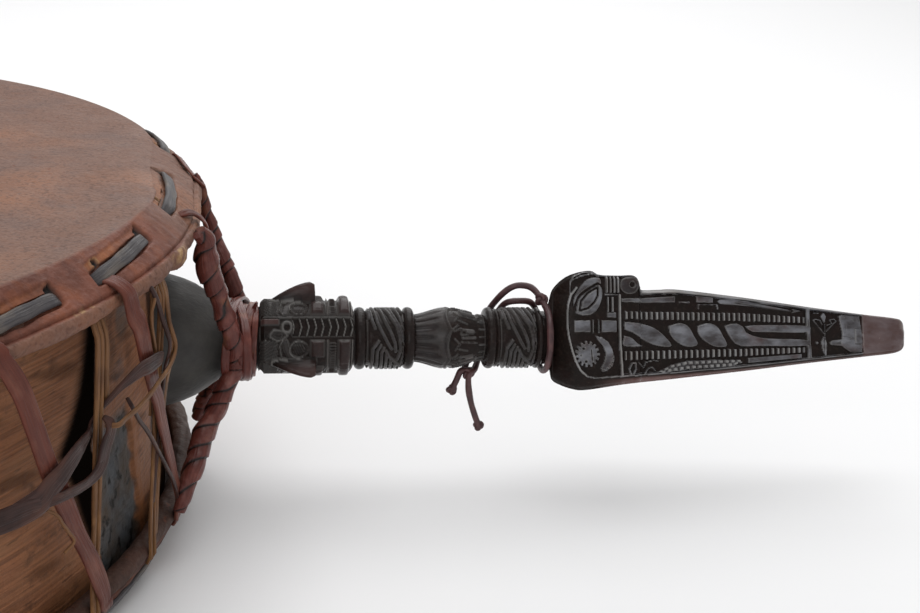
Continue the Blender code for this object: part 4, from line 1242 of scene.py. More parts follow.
LENS = [
    (381.3, 11.0), (381.9, 14.8), (384.7, 18.0), (387.5, 19.7), (389.0, 20.4), (388.9, 17.2),
    (387.4, 14.5), (384.6, 12.0)]

SUN = (384.3, -7.4)

MOON = [
    (387.2, 0.6), (390.8, -0.1), (393.7, -2.2), (395.5, -5.4), (396.5, -9.5), (395.4, -12.7),
    (392.8, -14.7), (390.6, -15.4), (389.9, -13.3), (391.4, -10.5), (392.2, -7.1), (390.8, -4.0),
    (388.6, -1.5)]

# raised flat shapes: (level, swell towards the middle, outline)
FLATS = (
    (-0.28, 0.35, [(379.3, 9.6), (380.1, 14.2), (381.3, 16.6), (384.5, 19.2), (387.4, 20.9),
        (389.7, 22.0), (391.3, 19.7), (391.1, 15.9), (389.4, 11.8), (386.4, 9.2), (382.8, 8.6)]),
    (-0.58, 0.5, [(378.3, 11.0), (378.6, 16.2), (380.8, 20.4), (384.6, 24.3), (389.7, 24.9),
        (390.8, 23.5), (390.8, 21.2), (389.6, 22.6), (387.2, 21.6), (384.2, 19.9), (380.9, 17.2),
        (379.6, 14.4)]),
    (-0.48, 0.0, [(378.7, 1.7), (378.7, 6.9), (385.9, 6.9), (385.9, 1.7)]),
    (-0.48, 0.0, [(390.6, 1.7), (390.6, 6.9), (397.6, 6.9), (397.6, 1.7)]),
    (-0.40, 0.3, MOON),
    (-0.53, 0.0, [(393.1, 7.7), (393.1, 10.3), (397.4, 10.3), (397.4, 7.7)]),
    # the twist and its two long tails
    (-0.38, 0.45, [(400.4, 6.3), (405.1, 6.0), (412.3, 4.6), (417.7, 1.4), (422.3, -4.3),
        (415.4, -4.2), (409.5, -1.8), (403.9, 1.6), (400.6, 2.6)]),
    (-0.38, 0.35, [(400.3, 0.5), (403.9, -0.5), (407.1, -3.2), (410.7, -4.2), (400.2, -4.2)]),
    (-0.38, 0.45, [(420.5, 4.5), (425.6, 5.8), (429.5, 4.5), (432.1, 0.5), (433.9, -3.8),
        (428.2, -4.6), (423.2, -1.8), (421.0, 1.0)]),
    (-0.38, 0.45, [(433.5, 4.5), (438.6, 5.8), (442.8, 4.3), (445.4, 0.4), (447.3, -4.4),
        (441.3, -4.6), (435.9, -1.5), (433.7, 1.5)]),
    (-0.38, 0.45, [(445.8, 4.5), (450.7, 5.8), (454.7, 4.3), (456.4, 1.5), (461.0, -0.1),
        (466.8, -0.9), (484.4, -1.6), (484.4, -4.5), (463.2, -4.5), (452.8, -4.4), (448.3, -0.6)]),
    (-0.38, 0.35, [(455.3, 4.2), (461.1, 4.9), (484.6, 4.5), (484.5, 1.4), (466.9, 1.5),
        (458.7, 1.7)]),
    # weapons along the upper edge
    (-0.43, 0.1, [(399.3, 16.1), (399.2, 14.3), (409.3, 14.1), (423.9, 14.2), (424.1, 17.3),
        (418.9, 17.0), (409.3, 16.4)]),
    (-0.43, 0.0, [(425.3, 14.0), (430.7, 14.0), (430.7, 15.0), (425.3, 15.0)]),
    (-0.43, 0.1, [(433.3, 17.2), (433.3, 14.3), (441.3, 14.1), (441.3, 16.6)]),
    (-0.43, 0.0, [(434.0, 13.9), (434.0, 11.4), (434.9, 11.4), (435.1, 13.2), (442.2, 13.1),
        (442.8, 11.2), (443.8, 11.3), (443.4, 13.9)]),
    (-0.43, 0.1, [(442.6, 15.1), (444.4, 16.0), (455.6, 15.3), (477.7, 11.3), (477.5, 10.4),
        (455.5, 12.8), (444.0, 13.7)]),
    (-0.43, 0.0, [(476.4, 12.4), (483.3, 10.9), (476.9, 9.5), (478.3, 10.8)]),
    # the scaly creature along the lower edge
    (-0.75, 0.0, [(413.8, -15.8), (418.4, -13.8), (421.6, -12.0), (428.8, -10.2), (441.5, -9.7),
        (452.5, -10.0), (454.7, -11.4), (448.8, -13.2), (430.5, -14.5), (421.6, -15.2)]),
    (-0.35, 0.2, [(456.5, -9.3), (482.2, -7.6), (482.2, -9.8), (456.5, -11.9)]),
    # the plant and the seated beast
    (-0.38, 0.0, [(488.2, 10.4), (490.9, 10.2), (490.8, 9.5), (486.6, 9.6)]),
    (-0.38, 0.2, [(492.3, 10.2), (491.0, 8.4), (492.2, 6.4), (493.1, 4.9), (493.6, 6.6),
        (494.1, 8.4), (493.2, 10.1)]),
    (-0.38, 0.2, [(492.7, 0.4), (491.2, -2.7), (491.8, -6.4), (493.3, -9.2), (494.2, -6.5),
        (494.4, -3.2)]),
    (-0.33, 0.15, [(499.8, 8.9), (501.2, 9.4), (510.0, 8.7), (511.6, -1.7), (511.0, -7.3),
        (505.2, -7.3), (502.5, -5.7), (501.4, -4.7), (495.9, -4.2), (495.1, -2.9), (496.5, -1.9),
        (501.2, -1.4), (501.3, 1.3), (500.3, 5.4), (499.8, 7.9)]))

# raised lines: (half width, level, points)
LINES = (
    (0.40, 0.15, [(376.9, 20.5), (376.9, 22.2), (378.6, 23.9), (381.7, 25.3), (386.5, 26.4),
        (389.6, 25.8)]),
    (0.35, 0.15, [(392.4, 17.6), (398.6, 17.6)]), (0.42, 0.20, [(386.9, 1.7), (386.9, 6.9)]),
    (0.42, 0.20, [(389.4, 1.7), (389.4, 6.9)]),
    (0.70, 0.20, [(398.7, 17.3), (398.7, 6.8), (398.8, -3.6), (399.5, -16.3)]),
    (1.00, 0.05, [(485.1, 12.0), (485.3, 0.0), (485.9, -10.0)]),
    (0.50, 0.10, [(403.4, -16.2), (402.6, -13.9), (403.8, -11.4), (405.4, -11.3), (405.6, -13.9),
        (404.4, -15.9)]),
    (0.42, 0.05, [(407.0, -11.2), (409.4, -13.3), (410.4, -11.0), (413.9, -10.2), (415.9, -10.5)]),
    (0.42, 0.05, [(409.9, -16.0), (411.4, -13.6), (413.2, -13.0), (414.6, -14.6)]),
    (0.38, -0.05, [(493.2, 5.0), (493.4, -8.4)]),
    (0.38, -0.05, [(493.0, 0.9), (490.0, 4.3), (487.9, 6.7), (488.8, 7.2), (491.0, 6.8),
        (492.0, 4.9)]),
    (0.38, -0.05, [(493.9, 1.9), (496.6, 4.6), (498.7, 6.4), (497.6, 7.3), (495.6, 6.9),
        (496.7, 5.4), (494.5, 4.6)]),
    (0.28, 0.15, [(399.6, -16.0), (425.2, -14.6), (453.8, -12.5), (485.4, -9.6), (510.6, -7.2)]),
    (0.28, 0.15, [(408.0, 17.7), (425.8, 17.9), (455.5, 15.1), (484.2, 11.4), (510.4, 8.5)]))

# cut lines: (half width, level, points)
CUTS = (
    (0.30, -0.95, [(385.9, -5.7), (386.2, -10.2)]),
    (0.30, -0.75, [(450.9, 14.3), (464.0, 12.4), (477.0, 10.8)]),
    (0.28, -0.55, [(492.9, -0.8), (492.9, -7.0)]),
    (0.35, -0.60, [(507.6, 3.2), (507.6, -3.6), (510.6, -3.7)]),
    (0.32, -0.45, [(507.6, 3.2), (510.6, 3.3)]), (0.26, -0.50, [(505.0, 8.2), (507.0, 6.0)]),
    (0.26, -0.50, [(507.2, 8.3), (509.2, 5.8)]), (0.24, -0.45, [(508.2, -5.3), (510.4, -5.6)]),
    (0.24, -0.45, [(507.0, -6.3), (509.6, -6.5)]), (0.30, -0.55, [(502.0, -0.2), (505.6, -0.8)]),
    (0.26, -0.45, [(503.2, 4.6), (503.0, 0.8)]))


def blade_level(x, v):
    """Level of a blade face's carving in mm at x, v (mm along and up the face): 0 on the
    flats, GROUND on the sunk ground, and falling away outside the carved panel."""
    panel = outline_gap(x, v, PANEL)
    outside = np.clip(panel, 0.0, None)
    level = -0.42 * outside - 0.035 * outside**2
    inside = ease(-panel, 0.05, 0.45) * (1.0 - ease(x, 510.9, 511.3))
    shapes = Relief(GROUND + 0.0 * level)
    for height, dome, outline in FLATS:
        if dome >= 0.35:
            outline = smooth_curve([(*p, 0.0) for p in (*outline, outline[0])], 30)[:-1, :2]
        shapes.up(outline_gap(x, v, outline), height, 0.4, dome, 1.6)
    # the pointed eye sunk in its ring
    lens = outline_gap(x, v, LENS)
    shapes.down(lens - 0.8, -1.15, 0.35)
    shapes.up(lens + 0.1, -0.3, 0.4, 0.35, 1.6)
    # banded blocks: upright bars beside the eye
    for start, count, pitch, width, low, high in ((393.2, 4, 1.63, 1.05, 18.3, 25.3),
                                                  (393.6, 2, 1.95, 1.0, 10.3, 16.7)):
        for number in range(count):
            middle = start + pitch * number
            shapes.up(box_gap(x, v, middle - width / 2, middle + width / 2, low, high), 0.15, 0.2)
    # the curl at the top corner
    curl = np.hypot((x - 403.2) / 4.7, (v - 21.6) / 4.2) * 4.4 - 4.4
    shapes.up(curl, -0.75, 0.7, 0.70, 2.6)
    shapes.down(np.hypot(x - 404.4, v - 21.9) - 1.45, -1.3, 0.6)
    # the sun with its teeth, and teeth on the moon's outer side
    reach, turn = np.hypot(x - SUN[0], v - SUN[1]), np.arctan2(v - SUN[1], x - SUN[0])
    tooth = zigzag(turn / (2 * np.pi) * 15.0) * 2.0
    shapes.up(reach - 4.4 - 1.2 * ease(tooth, 0.35, 0.6), -0.4, 0.35, 0.2, 2.0)
    shapes.down(np.abs(reach - 3.7) - 0.22, -0.45, 0.22)
    for hole_x, hole_v, size in ((382.6, -5.1, 0.75), (383.6, -10.5, 0.75), (381.5, -8.0, 0.5)):
        shapes.down(np.hypot(x - hole_x, v - hole_v) - size, -1.0, 0.4)
    far, round_moon = np.hypot(x - 388.2, v + 7.6), np.arctan2(v + 7.6, x - 388.2)
    notch = zigzag(round_moon / (2 * np.pi) * 28.0) * 2.0
    notch = np.maximum(6.9 - far, 0.35 - notch) + 0.2
    notched = (x > 387.5) & (far < 9.5)
    shapes.down(np.where(notched, notch, 1.0), -0.75, 0.25)
    # two rows of small bars
    for mark, high, low, pitch, shift in (
            ((400.4, 454.0, 484.0), (10.6, 10.0, 8.2), (7.2, 6.3, 5.4), 2.33, 0.0),
            ((400.6, 454.0, 484.0), (-6.2, -5.4, -4.9), (-10.2, -8.8, -7.3), 2.50, 0.4)):
        row = np.maximum(v - np.interp(x, mark, high), np.interp(x, mark, low) - v)
        row = np.maximum(row, np.maximum(mark[0] - x, x - 483.4))
        bars = (zigzag((x - mark[0]) / pitch + shift) - 0.235) * pitch
        shapes.up(row, -0.95, 0.3)
        shapes.up(np.maximum(row, bars), 0.25, 0.25)
    # scales of the creature: light bars with a dot between
    back = np.interp(x, [414.0, 418.4, 421.6, 428.8, 452.5], [-15.8, -13.8, -12.1, -10.3, -10.1])
    belly = np.interp(x, [414.0, 421.6, 430.5, 448.8, 454.0], [-16.2, -15.1, -14.3, -13.0, -11.6])
    share = np.clip((back - v) / np.maximum(back - belly, 0.3), 0.0, 1.0)
    lane = zigzag(share * 2.0) * 0.5 * (back - belly)
    cell = zigzag((x + 1.4 * (share > 0.5)) / 2.75) * 2.75
    scale = np.maximum(np.maximum(cell - 0.95, lane - 0.70), box_gap(x, v, 414.5, 454, -17, -9))
    scale = np.maximum(scale, np.maximum(v - back, belly - v))
    shapes.up(scale, 0.20, 0.3)
    for half, height, points in LINES:
        shapes.up(line_gap(x, v, points) - half, height, 0.35)
    shapes.up(np.hypot(x - 489.4, v + 3.1) - 0.8, -0.1, 0.4)
    for half, depth, points in CUTS:
        shapes.down(line_gap(x, v, points) - half, depth, 0.25)
    shapes.down(np.hypot(x - 502.0, v - 8.0) - 0.45, -0.6, 0.25)
    shapes.down(outline_gap(x, v, [(497.4, -3.4), (500.9, -2.2), (501.2, -3.8)]), -0.7, 0.25)
    face = Relief(np.where(panel < 0.0, level + shapes.level * inside, level))
    face.up(line_gap(x, v, RIM) - 0.65, 0.25, 0.35)
    seam = segment_gap(x, v, (510.6, 9.2), (511.6, -8.0))
    face.down(np.where(panel < 0.4, seam - 0.3, 1.0), -0.5, 0.3)
    return face.level


UPPER_EDGE = (
    (0.3685, 0.0130), (0.3693, 0.0155), (0.3710, 0.0198), (0.3736, 0.0233), (0.3773, 0.0258),
    (0.3825, 0.0273), (0.3867, 0.0275), (0.3900, 0.0260), (0.3987, 0.0257), (0.4042, 0.0259),
    (0.4067, 0.0248), (0.4079, 0.0227), (0.4085, 0.0201), (0.4112, 0.0197), (0.4169, 0.0199),
    (0.4259, 0.0199), (0.4555, 0.0166), (0.4848, 0.0127), (0.5105, 0.0095), (0.5269, 0.0077),
    (0.5312, 0.0063), (0.5326, 0.0040), (0.5331, 0.0016))
LOWER_EDGE = (
    (0.3685, 0.0130), (0.3711, 0.0176), (0.3732, 0.0197), (0.3788, 0.0220), (0.3849, 0.0224),
    (0.4013, 0.0202), (0.4207, 0.0184), (0.4549, 0.0151), (0.4830, 0.0121), (0.5106, 0.0094),
    (0.5265, 0.0077), (0.5315, 0.0053), (0.5331, 0.0016))


def blade_edge(points, x):
    """Height of the smooth curve through the points of an edge."""
    curve = smooth_curve([(a, b, 0.0) for a, b in points], 900)
    return np.interp(x, np.maximum.accumulate(curve[:, 0]), curve[:, 1])


def edge_highlight(level):
    """A painted highlight: 1 along the upper edges of the raised shapes, where the level drops
    away, and 0 off them."""
    slope = np.hypot(*np.gradient(level))
    return ease(slope, 0.10, 0.26) * ease(level, -0.95, -0.55) * (level < 0.8)


def make_blade(sizes, material):
    """The three-sided blade. Its section is a triangle with one flat side near and an edge
    behind; each side's points are pushed along that side's own direction by the carving."""
    # rows: the blunt start, the carved length, the end panel and the tip
    x = np.concatenate([np.linspace(0.3664, 0.3750, 22)[:-1], np.linspace(0.3750, 0.5125, 442),
                        np.linspace(0.5131, 0.5310, 16), np.linspace(0.5313, 0.5330, 9)])[:, None]
    blunt = np.sqrt(np.clip(1.0 - ((0.3702 - np.minimum(x, 0.3702)) / 0.0040) ** 2, 0.0, 1.0))
    top, bottom = blade_edge(UPPER_EDGE, x) * blunt, blade_edge(LOWER_EDGE, x) * blunt
    half, middle = (top + bottom) / 2.0, (top - bottom) / 2.0
    face = half * 0.56
    parts, levels, reds, bevel_highlights = [], [], [], []
    rear = (-2.0 * face * 0.93, middle * 0.4)
    corners = [(face, middle - half), (face, middle + half), rear]
    sides = [(corners[k], corners[(k + 1) % 3]) for k in range(3)]
    lengths = [np.hypot(stop[0] - start[0], stop[1] - start[1]) for start, stop in sides]
    directions = [np.stack([(stop[1] - start[1]) / long, (start[0] - stop[0]) / long], -1)
                  for (start, stop), long in zip(sides, lengths)]
    for number, ((start, stop), count) in enumerate(zip(sides, (148, 29, 29))):
        share = np.linspace(-1.0, 1.0, count)[None, :]
        share = share if number == 0 else share[:, 1:-1] if number == 2 else share[:, 1:]
        t = (share + 1.0) / 2.0
        near = start[0] + (stop[0] - start[0]) * t
        up = start[1] + (stop[1] - start[1]) * t
        # beside the near side, the rear sides' push turns to the near side's direction
        turned = (0.0, ease(-share, 0.5, 1.0), ease(share, 0.5, 1.0))[number] + 0.0 * share
        turned = turned[..., None]
        out = unit(directions[number] * (1.0 - turned) + directions[0] * turned)
        v = middle + half * share * (1.0 if number == 0 else -1.0)
        level = blade_level(x / MM + 0.0 * v, v / MM)
        if number > 0:
            edge = middle + half * (1.0 if number == 1 else -1.0)
            plain = blade_level(x / MM, edge / MM)
            level = plain + (level - plain) * ease(x, 0.3855, 0.3875)
        fade = ease(x, 0.3688, 0.3715)
        swell = 0.0 if number == 0 else 0.10 * face * np.sin(np.pi * t)
        corner = -0.10 * face * ease(np.abs(share), 0.92, 1.0)
        push = (level * MM * fade + swell + corner)[..., None]
        parts.append(np.stack([near + 0.0 * v, up + 0.0 * v], -1) + push * out)
        panel = outline_gap(x / MM + 0.0 * v, v / MM, PANEL)
        hidden = (number > 0) & (x < 0.3875)
        levels.append(np.where((panel < 0.3) & ~hidden, level, -2.0))
        reds.append(ease(panel, 0.5, 2.0) * ease(x, 0.385, 0.410) * (v < 0.0))
        # painted highlight on the bevel along the blade's upper edge, where it catches light
        bevel_highlights.append(ease(panel, 0.1, 0.4) * ease(x, 0.4080, 0.4095) * (v > 0.0))
    section = np.concatenate(parts, 1)
    level, red = np.concatenate(levels, 1), np.concatenate(reds, 1)
    patchy = waver(x / MM + 0 * level, section[..., 1] / MM, size=9.0, seed=21)
    # grey of the flats: wear and painted sheen, with the bevel's painted highlight
    worn = np.maximum(ease(level, -1.0, -0.35), np.concatenate(bevel_highlights, 1) * 0.9)
    worn = worn * (0.80 + 0.20 * patchy)
    # painted highlights on the raised lines and bars, the bevel and the shapes' upper edges
    dome = np.maximum(ease(level, 0.06, 0.2), 0.75 * np.concatenate(bevel_highlights, 1))
    dome = np.maximum(dome, 0.55 * edge_highlight(level))
    curl = np.hypot((x - 0.4032) / 0.0047, (section[..., 1] - 0.0216) / 0.0042)
    worn = worn * (0.25 + 0.75 * ease(curl, 0.95, 1.05))
    head = ease(x / MM + 0.0 * level, 374.5, 377.0)
    tip = ease(x / MM + 0.0 * level, 510.5, 511.5)
    red = np.clip(np.maximum(red * 0.95, tip * 0.5), 0.0, 1.0)
    grid = on_handle(sizes, x, section[..., 0], section[..., 1])
    paint = np.stack([worn * head * (1.0 - 0.7 * red), red, 0.0 * worn, dome * head], -1)
    surface = Surface()
    surface.add(grid, paint=paint)
    piece = surface.finish("carved_blade", material, sharp=70.0)
    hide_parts("handle")


SHOULDER = (
    (0.2060, 0.0285), (0.2135, 0.0264), (0.2180, 0.0250), (0.2228, 0.0229), (0.2276, 0.0198),
    (0.2304, 0.0177), (0.2336, 0.0157), (0.2380, 0.0146), (0.2415, 0.0140), (0.2421, 0.0122),
    (0.2481, 0.0122), (0.2487, 0.0148))
RINGS = ((0.2876, 0.2919), (0.3078, 0.3120), (0.3423, 0.3462), (0.3634, 0.3662))
SMALL_RING = (0.3463, 0.3478)
KNOTS = ((0.2921, 0.3076), (0.3479, 0.3633))
BUD = (0.3124, 0.3420)
NOSE = 72.0
# ends of the head along the handle, and the radius that the grip's shapes stand on
HEAD = (0.2484, 0.2870)
CORE = 0.0113
# millimetres round a knot, the bud and the head for each degree
KNOT_ARC = 0.218
BUD_ARC = 0.223
HEAD_ARC = 0.262
# strands of an endless knot: (mm along, degrees round) places
STRANDS = (
    [(291.9, 80), (292.2, 42)], [(292.9, 61), (293.6, 33), (294.6, 18)],
    [(293.6, 88), (294.4, 65), (295.8, 28), (297.4, 10), (299.4, -9), (301.2, -23)],
    [(296.3, 88), (297.9, 49), (299.3, 27), (301.2, 7), (302.6, -11), (303.0, -28)],
    [(298.3, 88), (299.6, 65), (301.5, 39), (303.6, 21), (304.6, -1), (305.0, -24), (303.8, -48)],
    [(300.1, 88), (301.7, 53), (303.3, 34), (305.3, 12), (306.2, -8)],
    [(302.2, 88), (303.6, 60), (305.0, 38), (306.0, 22)], [(304.6, 88), (305.8, 62)],
    [(306.6, -20), (306.1, -44), (305.3, -61)],
    [(296.0, -8), (293.7, -23), (293.6, -58), (293.6, -88)],
    [(296.9, -16), (295.5, -28), (295.6, -66), (295.6, -88)],
    [(298.2, -21), (297.2, -31), (297.5, -67), (297.6, -88)],
    [(299.2, -36), (299.3, -60), (299.6, -88)], [(301.2, -50), (301.4, -88)],
    [(303.2, -62), (303.4, -88)], [(298.9, -26), (300.4, -40), (304.0, -59), (306.3, -83)])
# the bud's right half: (half width, level, (mm along, degrees round) places)
BUD_LINES = (
    (0.38, 0.15, [(327.6, 14), (330.1, 24)]), (0.38, 0.15, [(328.1, 12), (331.3, 17)]),
    (0.40, 0.10, [(331.3, 15), (333.8, 15), (333.8, 4), (331.2, 4), (331.3, 15)]),
    (1.10, 0.30, [(334.2, 12), (336.2, 12)]), (0.70, 0.20, [(331.9, -1.5), (337.2, -1.5)]),
    (0.35, 0.20, [(331.2, -10), (338.1, -14)]), (0.35, 0.15, [(330.3, -25), (334.0, -31)]),
    (0.35, 0.10, [(328.4, -4), (330.6, -14), (328.8, -27)]))


def grip_radius(x):
    """Radius of the turned shapes down the grip: shoulder, head, rings, knots and bud."""
    radius = np.where(x < 0.2487, np.interp(x, *np.transpose(SHOULDER)), CORE)
    head = (x >= HEAD[0]) & (x <= HEAD[1])
    edge = np.minimum(x - HEAD[0], HEAD[1] - x)
    radius = np.where(head, 0.0120 + 0.0032 * np.sqrt(np.clip(edge / 0.0022, 0.0, 1.0)), radius)
    for start, stop in (*RINGS, SMALL_RING):
        share = np.clip(2.0 * (x - start) / (stop - start) - 1.0, -1.0, 1.0)
        tall = 0.0017 if stop - start > 0.002 else 0.0010
        radius = np.maximum(radius, CORE + tall * np.sqrt(1.0 - share**2))
    for start, stop in KNOTS:
        edge = np.clip(np.minimum(x - start, stop - x) / 0.0016, 0.0, 1.0)
        radius = np.maximum(radius, np.where(edge > 0, 0.0112 + 0.0014 * np.sqrt(edge), 0.0))
    share = np.clip((x - BUD[0]) / (BUD[1] - BUD[0]), 0.0, 1.0)
    bud = 0.0097 + 0.0031 * np.sin(np.pi * share) ** 1.6
    return np.where((x > BUD[0]) & (x < BUD[1]), bud, radius)


def knot_level(x, phi):
    """Carving of a knot in mm: round strands about 2 mm apart over a sunk ground. x is mm along
    the first knot and phi degrees round it, from -90 to 90."""
    level = -0.95 + 0.0 * x
    for points in STRANDS:
        gap = line_gap(x, KNOT_ARC * phi, [(a, KNOT_ARC * b) for a, b in points])
        level = np.maximum(level, -0.95 + 1.35 * np.sqrt(np.clip(1.0 - (gap / 0.80) ** 2, 0, 1)))
    knot = Relief(level)
    recess = outline_gap(x, KNOT_ARC * phi, [(291.4, 3.3), (295.4, -1.6), (291.4, -1.8)])
    knot.down(recess, -1.1, 0.3)
    return knot.level


def bud_level(x, phi):
    """Carving of the bud in mm: fine ribs that fade into smooth petals, the petals' edge, then
    leaves and bars, and ribs again at its right end."""
    local = (phi + 35.0) % 60.0 - 35.0
    edge = 327.3 - 1.6 * np.abs(np.sin(np.radians(3.0 * (phi - 14.0))))
    left = 1.0 - ease(x, edge - 0.2, edge + 0.2)
    rib = 1.0 - np.abs(np.sin(np.radians(9.0 * phi))) ** 0.7
    fading = 1.0 - ease(x + 1.5 * np.cos(np.radians(3.0 * phi)), 318.0, 323.5)
    fold = bell(x - edge + 1.3, 0.35)
    bud = Relief(left * (0.30 - 0.55 * rib * fading - 0.35 * fold) - 0.65 * (1.0 - left))
    for half, height, points in BUD_LINES:
        gap = line_gap(x, BUD_ARC * local, [(a, BUD_ARC * b) for a, b in points]) - half
        bud.up(np.where(left > 0.5, 1.0, gap), height, 0.35, 0.1, 0.5)
    ribs = box_gap(x, 0.0 * x, 338.9, 342.2, -1.0, 1.0)
    bud.up(np.maximum(ribs, 0.55 - rib), 0.1, 0.3)
    return bud.level


def head_level(x, psi):
    """Carving of a third of the head in mm, at x mm along and psi degrees round from its nose:
    one face, up to the middles of the braids of chevrons on either side of it."""
    side = HEAD_ARC * psi
    away, fold = np.abs(side), HEAD_ARC * (60.0 - np.abs(psi))
    face = Relief(-0.60 + 0.0 * x)
    # hair in strands, with a small ring over the brow
    strand = zigzag((away - 0.60 * (x - 250.0)) / 1.45) * 1.45 - 0.36
    hair = box_gap(x, away, 248.6, 255.9, -1.0, 10.6)
    face.up(np.maximum(hair, strand), 0.20, 0.3)
    ring = np.hypot(x - 255.6, side)
    face.up(ring - 1.8, 0.40, 0.35)
    face.down(ring - 0.8, -0.5, 0.3)
    # brow, and the broad ridge that sweeps from it into the nose
    flank = line_gap(x, away, [(258.9, 9.6), (259.6, 6.4), (260.9, 3.4), (263.6, 1.4),
                               (267.0, 0.6)])
    face.up(flank - 1.55, 0.05, 0.6, 0.15, 1.2)
    brow = line_gap(x, away, [(258.3, 0.0), (257.3, 3.6), (256.7, 8.2), (258.0, 10.4)])
    face.up(brow - 0.40, 0.40, 0.35)
    # eye: a thin ring round a finely lined ball
    eye = np.hypot(x - 264.4, away - 6.3)
    face.up(eye - 4.0, 0.30, 0.35)
    face.down(eye - 3.5, -0.9, 0.35)
    face.up(eye - 2.9, -0.50, 0.5, 0.45, 2.4)
    lined = np.maximum(eye - 2.8, zigzag((x + 0.5 * away) / 0.95) * 0.95 - 0.2)
    face.level = face.level - 0.22 * (1.0 - ease(lined, -0.15, 0.1))
    # cheek, teeth and chin
    face.up(box_gap(x, away, 268.6, 275.2, 2.6, 10.8), 0.65, 1.4, 0.95, 3.6)
    face.up(box_gap(x, away, 275.6, 276.4, -1.0, 10.4), 0.35, 0.3)
    tooth = zigzag(away / 1.2) * 1.2 - 0.36
    teeth = box_gap(x, away, 277.0, 279.5, -1.0, 10.0)
    face.up(np.maximum(teeth, tooth), 0.15, 0.3)
    face.up(box_gap(x, away, 279.9, 285.8, -1.0, 10.8), 0.60, 1.4, 0.95, 3.2)
    face.up(box_gap(x, away, 285.6, 286.5, -1.0, 10.4), 0.40, 0.4)
    # the nose: it climbs from the brow and ends square over the mouth
    climb = 1.0 - (1.0 - np.clip((x - 252.0) / 17.0, 0.0, 1.0)) ** 1.5
    climb = climb * (1.0 - 0.10 * ease(x, 269.0, 271.2)) * (1.0 - ease(x, 271.0, 271.8))
    ridge = np.cos(np.radians(90.0 * np.clip(np.abs(psi) / 10.0, 0.0, 1.0))) ** 0.9
    nose = np.where(climb * ridge > 0.0, -0.6 + 8.4 * climb * ridge, -np.inf)
    face.level = np.maximum(face.level, nose)
    # what lies beside the braid: a plain flat on one side, a petal on the other
    flat = box_gap(x, side, 249.0, 256.6, -14.9, -11.8)
    face.up(flat, 0.0, 0.35)
    petal = outline_gap(x, side, [(252.5, 13.2), (254.1, 14.9), (258.0, 14.6), (260.6, 12.4),
                                  (257.7, 9.9), (255.6, 9.4), (252.2, 11.4)])
    face.up(petal, 0.25, 0.4)
    face.down(petal + 0.7, -0.45, 0.35)
    face.up(petal + 1.4, -0.10, 0.35)
    # the braid with its borders and the ring at its top
    face.down(box_gap(x, fold, 261.6, 286.6, -1.0, 4.0), -1.1, 0.35)
    middle = (x + 0.26 * fold - 262.5) / 2.975
    stroke = np.minimum(middle % 1.0, 1.0 - middle % 1.0) * 2.975 - 0.50
    braid = box_gap(x, fold, 261.6, 286.6, -1.0, 3.9)
    face.up(np.maximum(braid, stroke), 0.40, 0.3)
    face.up(np.maximum(braid, fold - 0.25), -0.35, 0.3)
    border = np.where(psi < 0.0, np.maximum(np.abs(fold - 4.4) - 0.34, 249.9 - x), 1.0)
    face.up(border, 0.42, 0.3)
    beak = np.hypot((x - 259.6) / 2.5, (fold - 0.3) / 2.6)
    face.up((beak - 1.0) * 2.5, 0.26, 0.35)
    face.down((beak - 0.52) * 2.5, -0.9, 0.35)
    return face.level


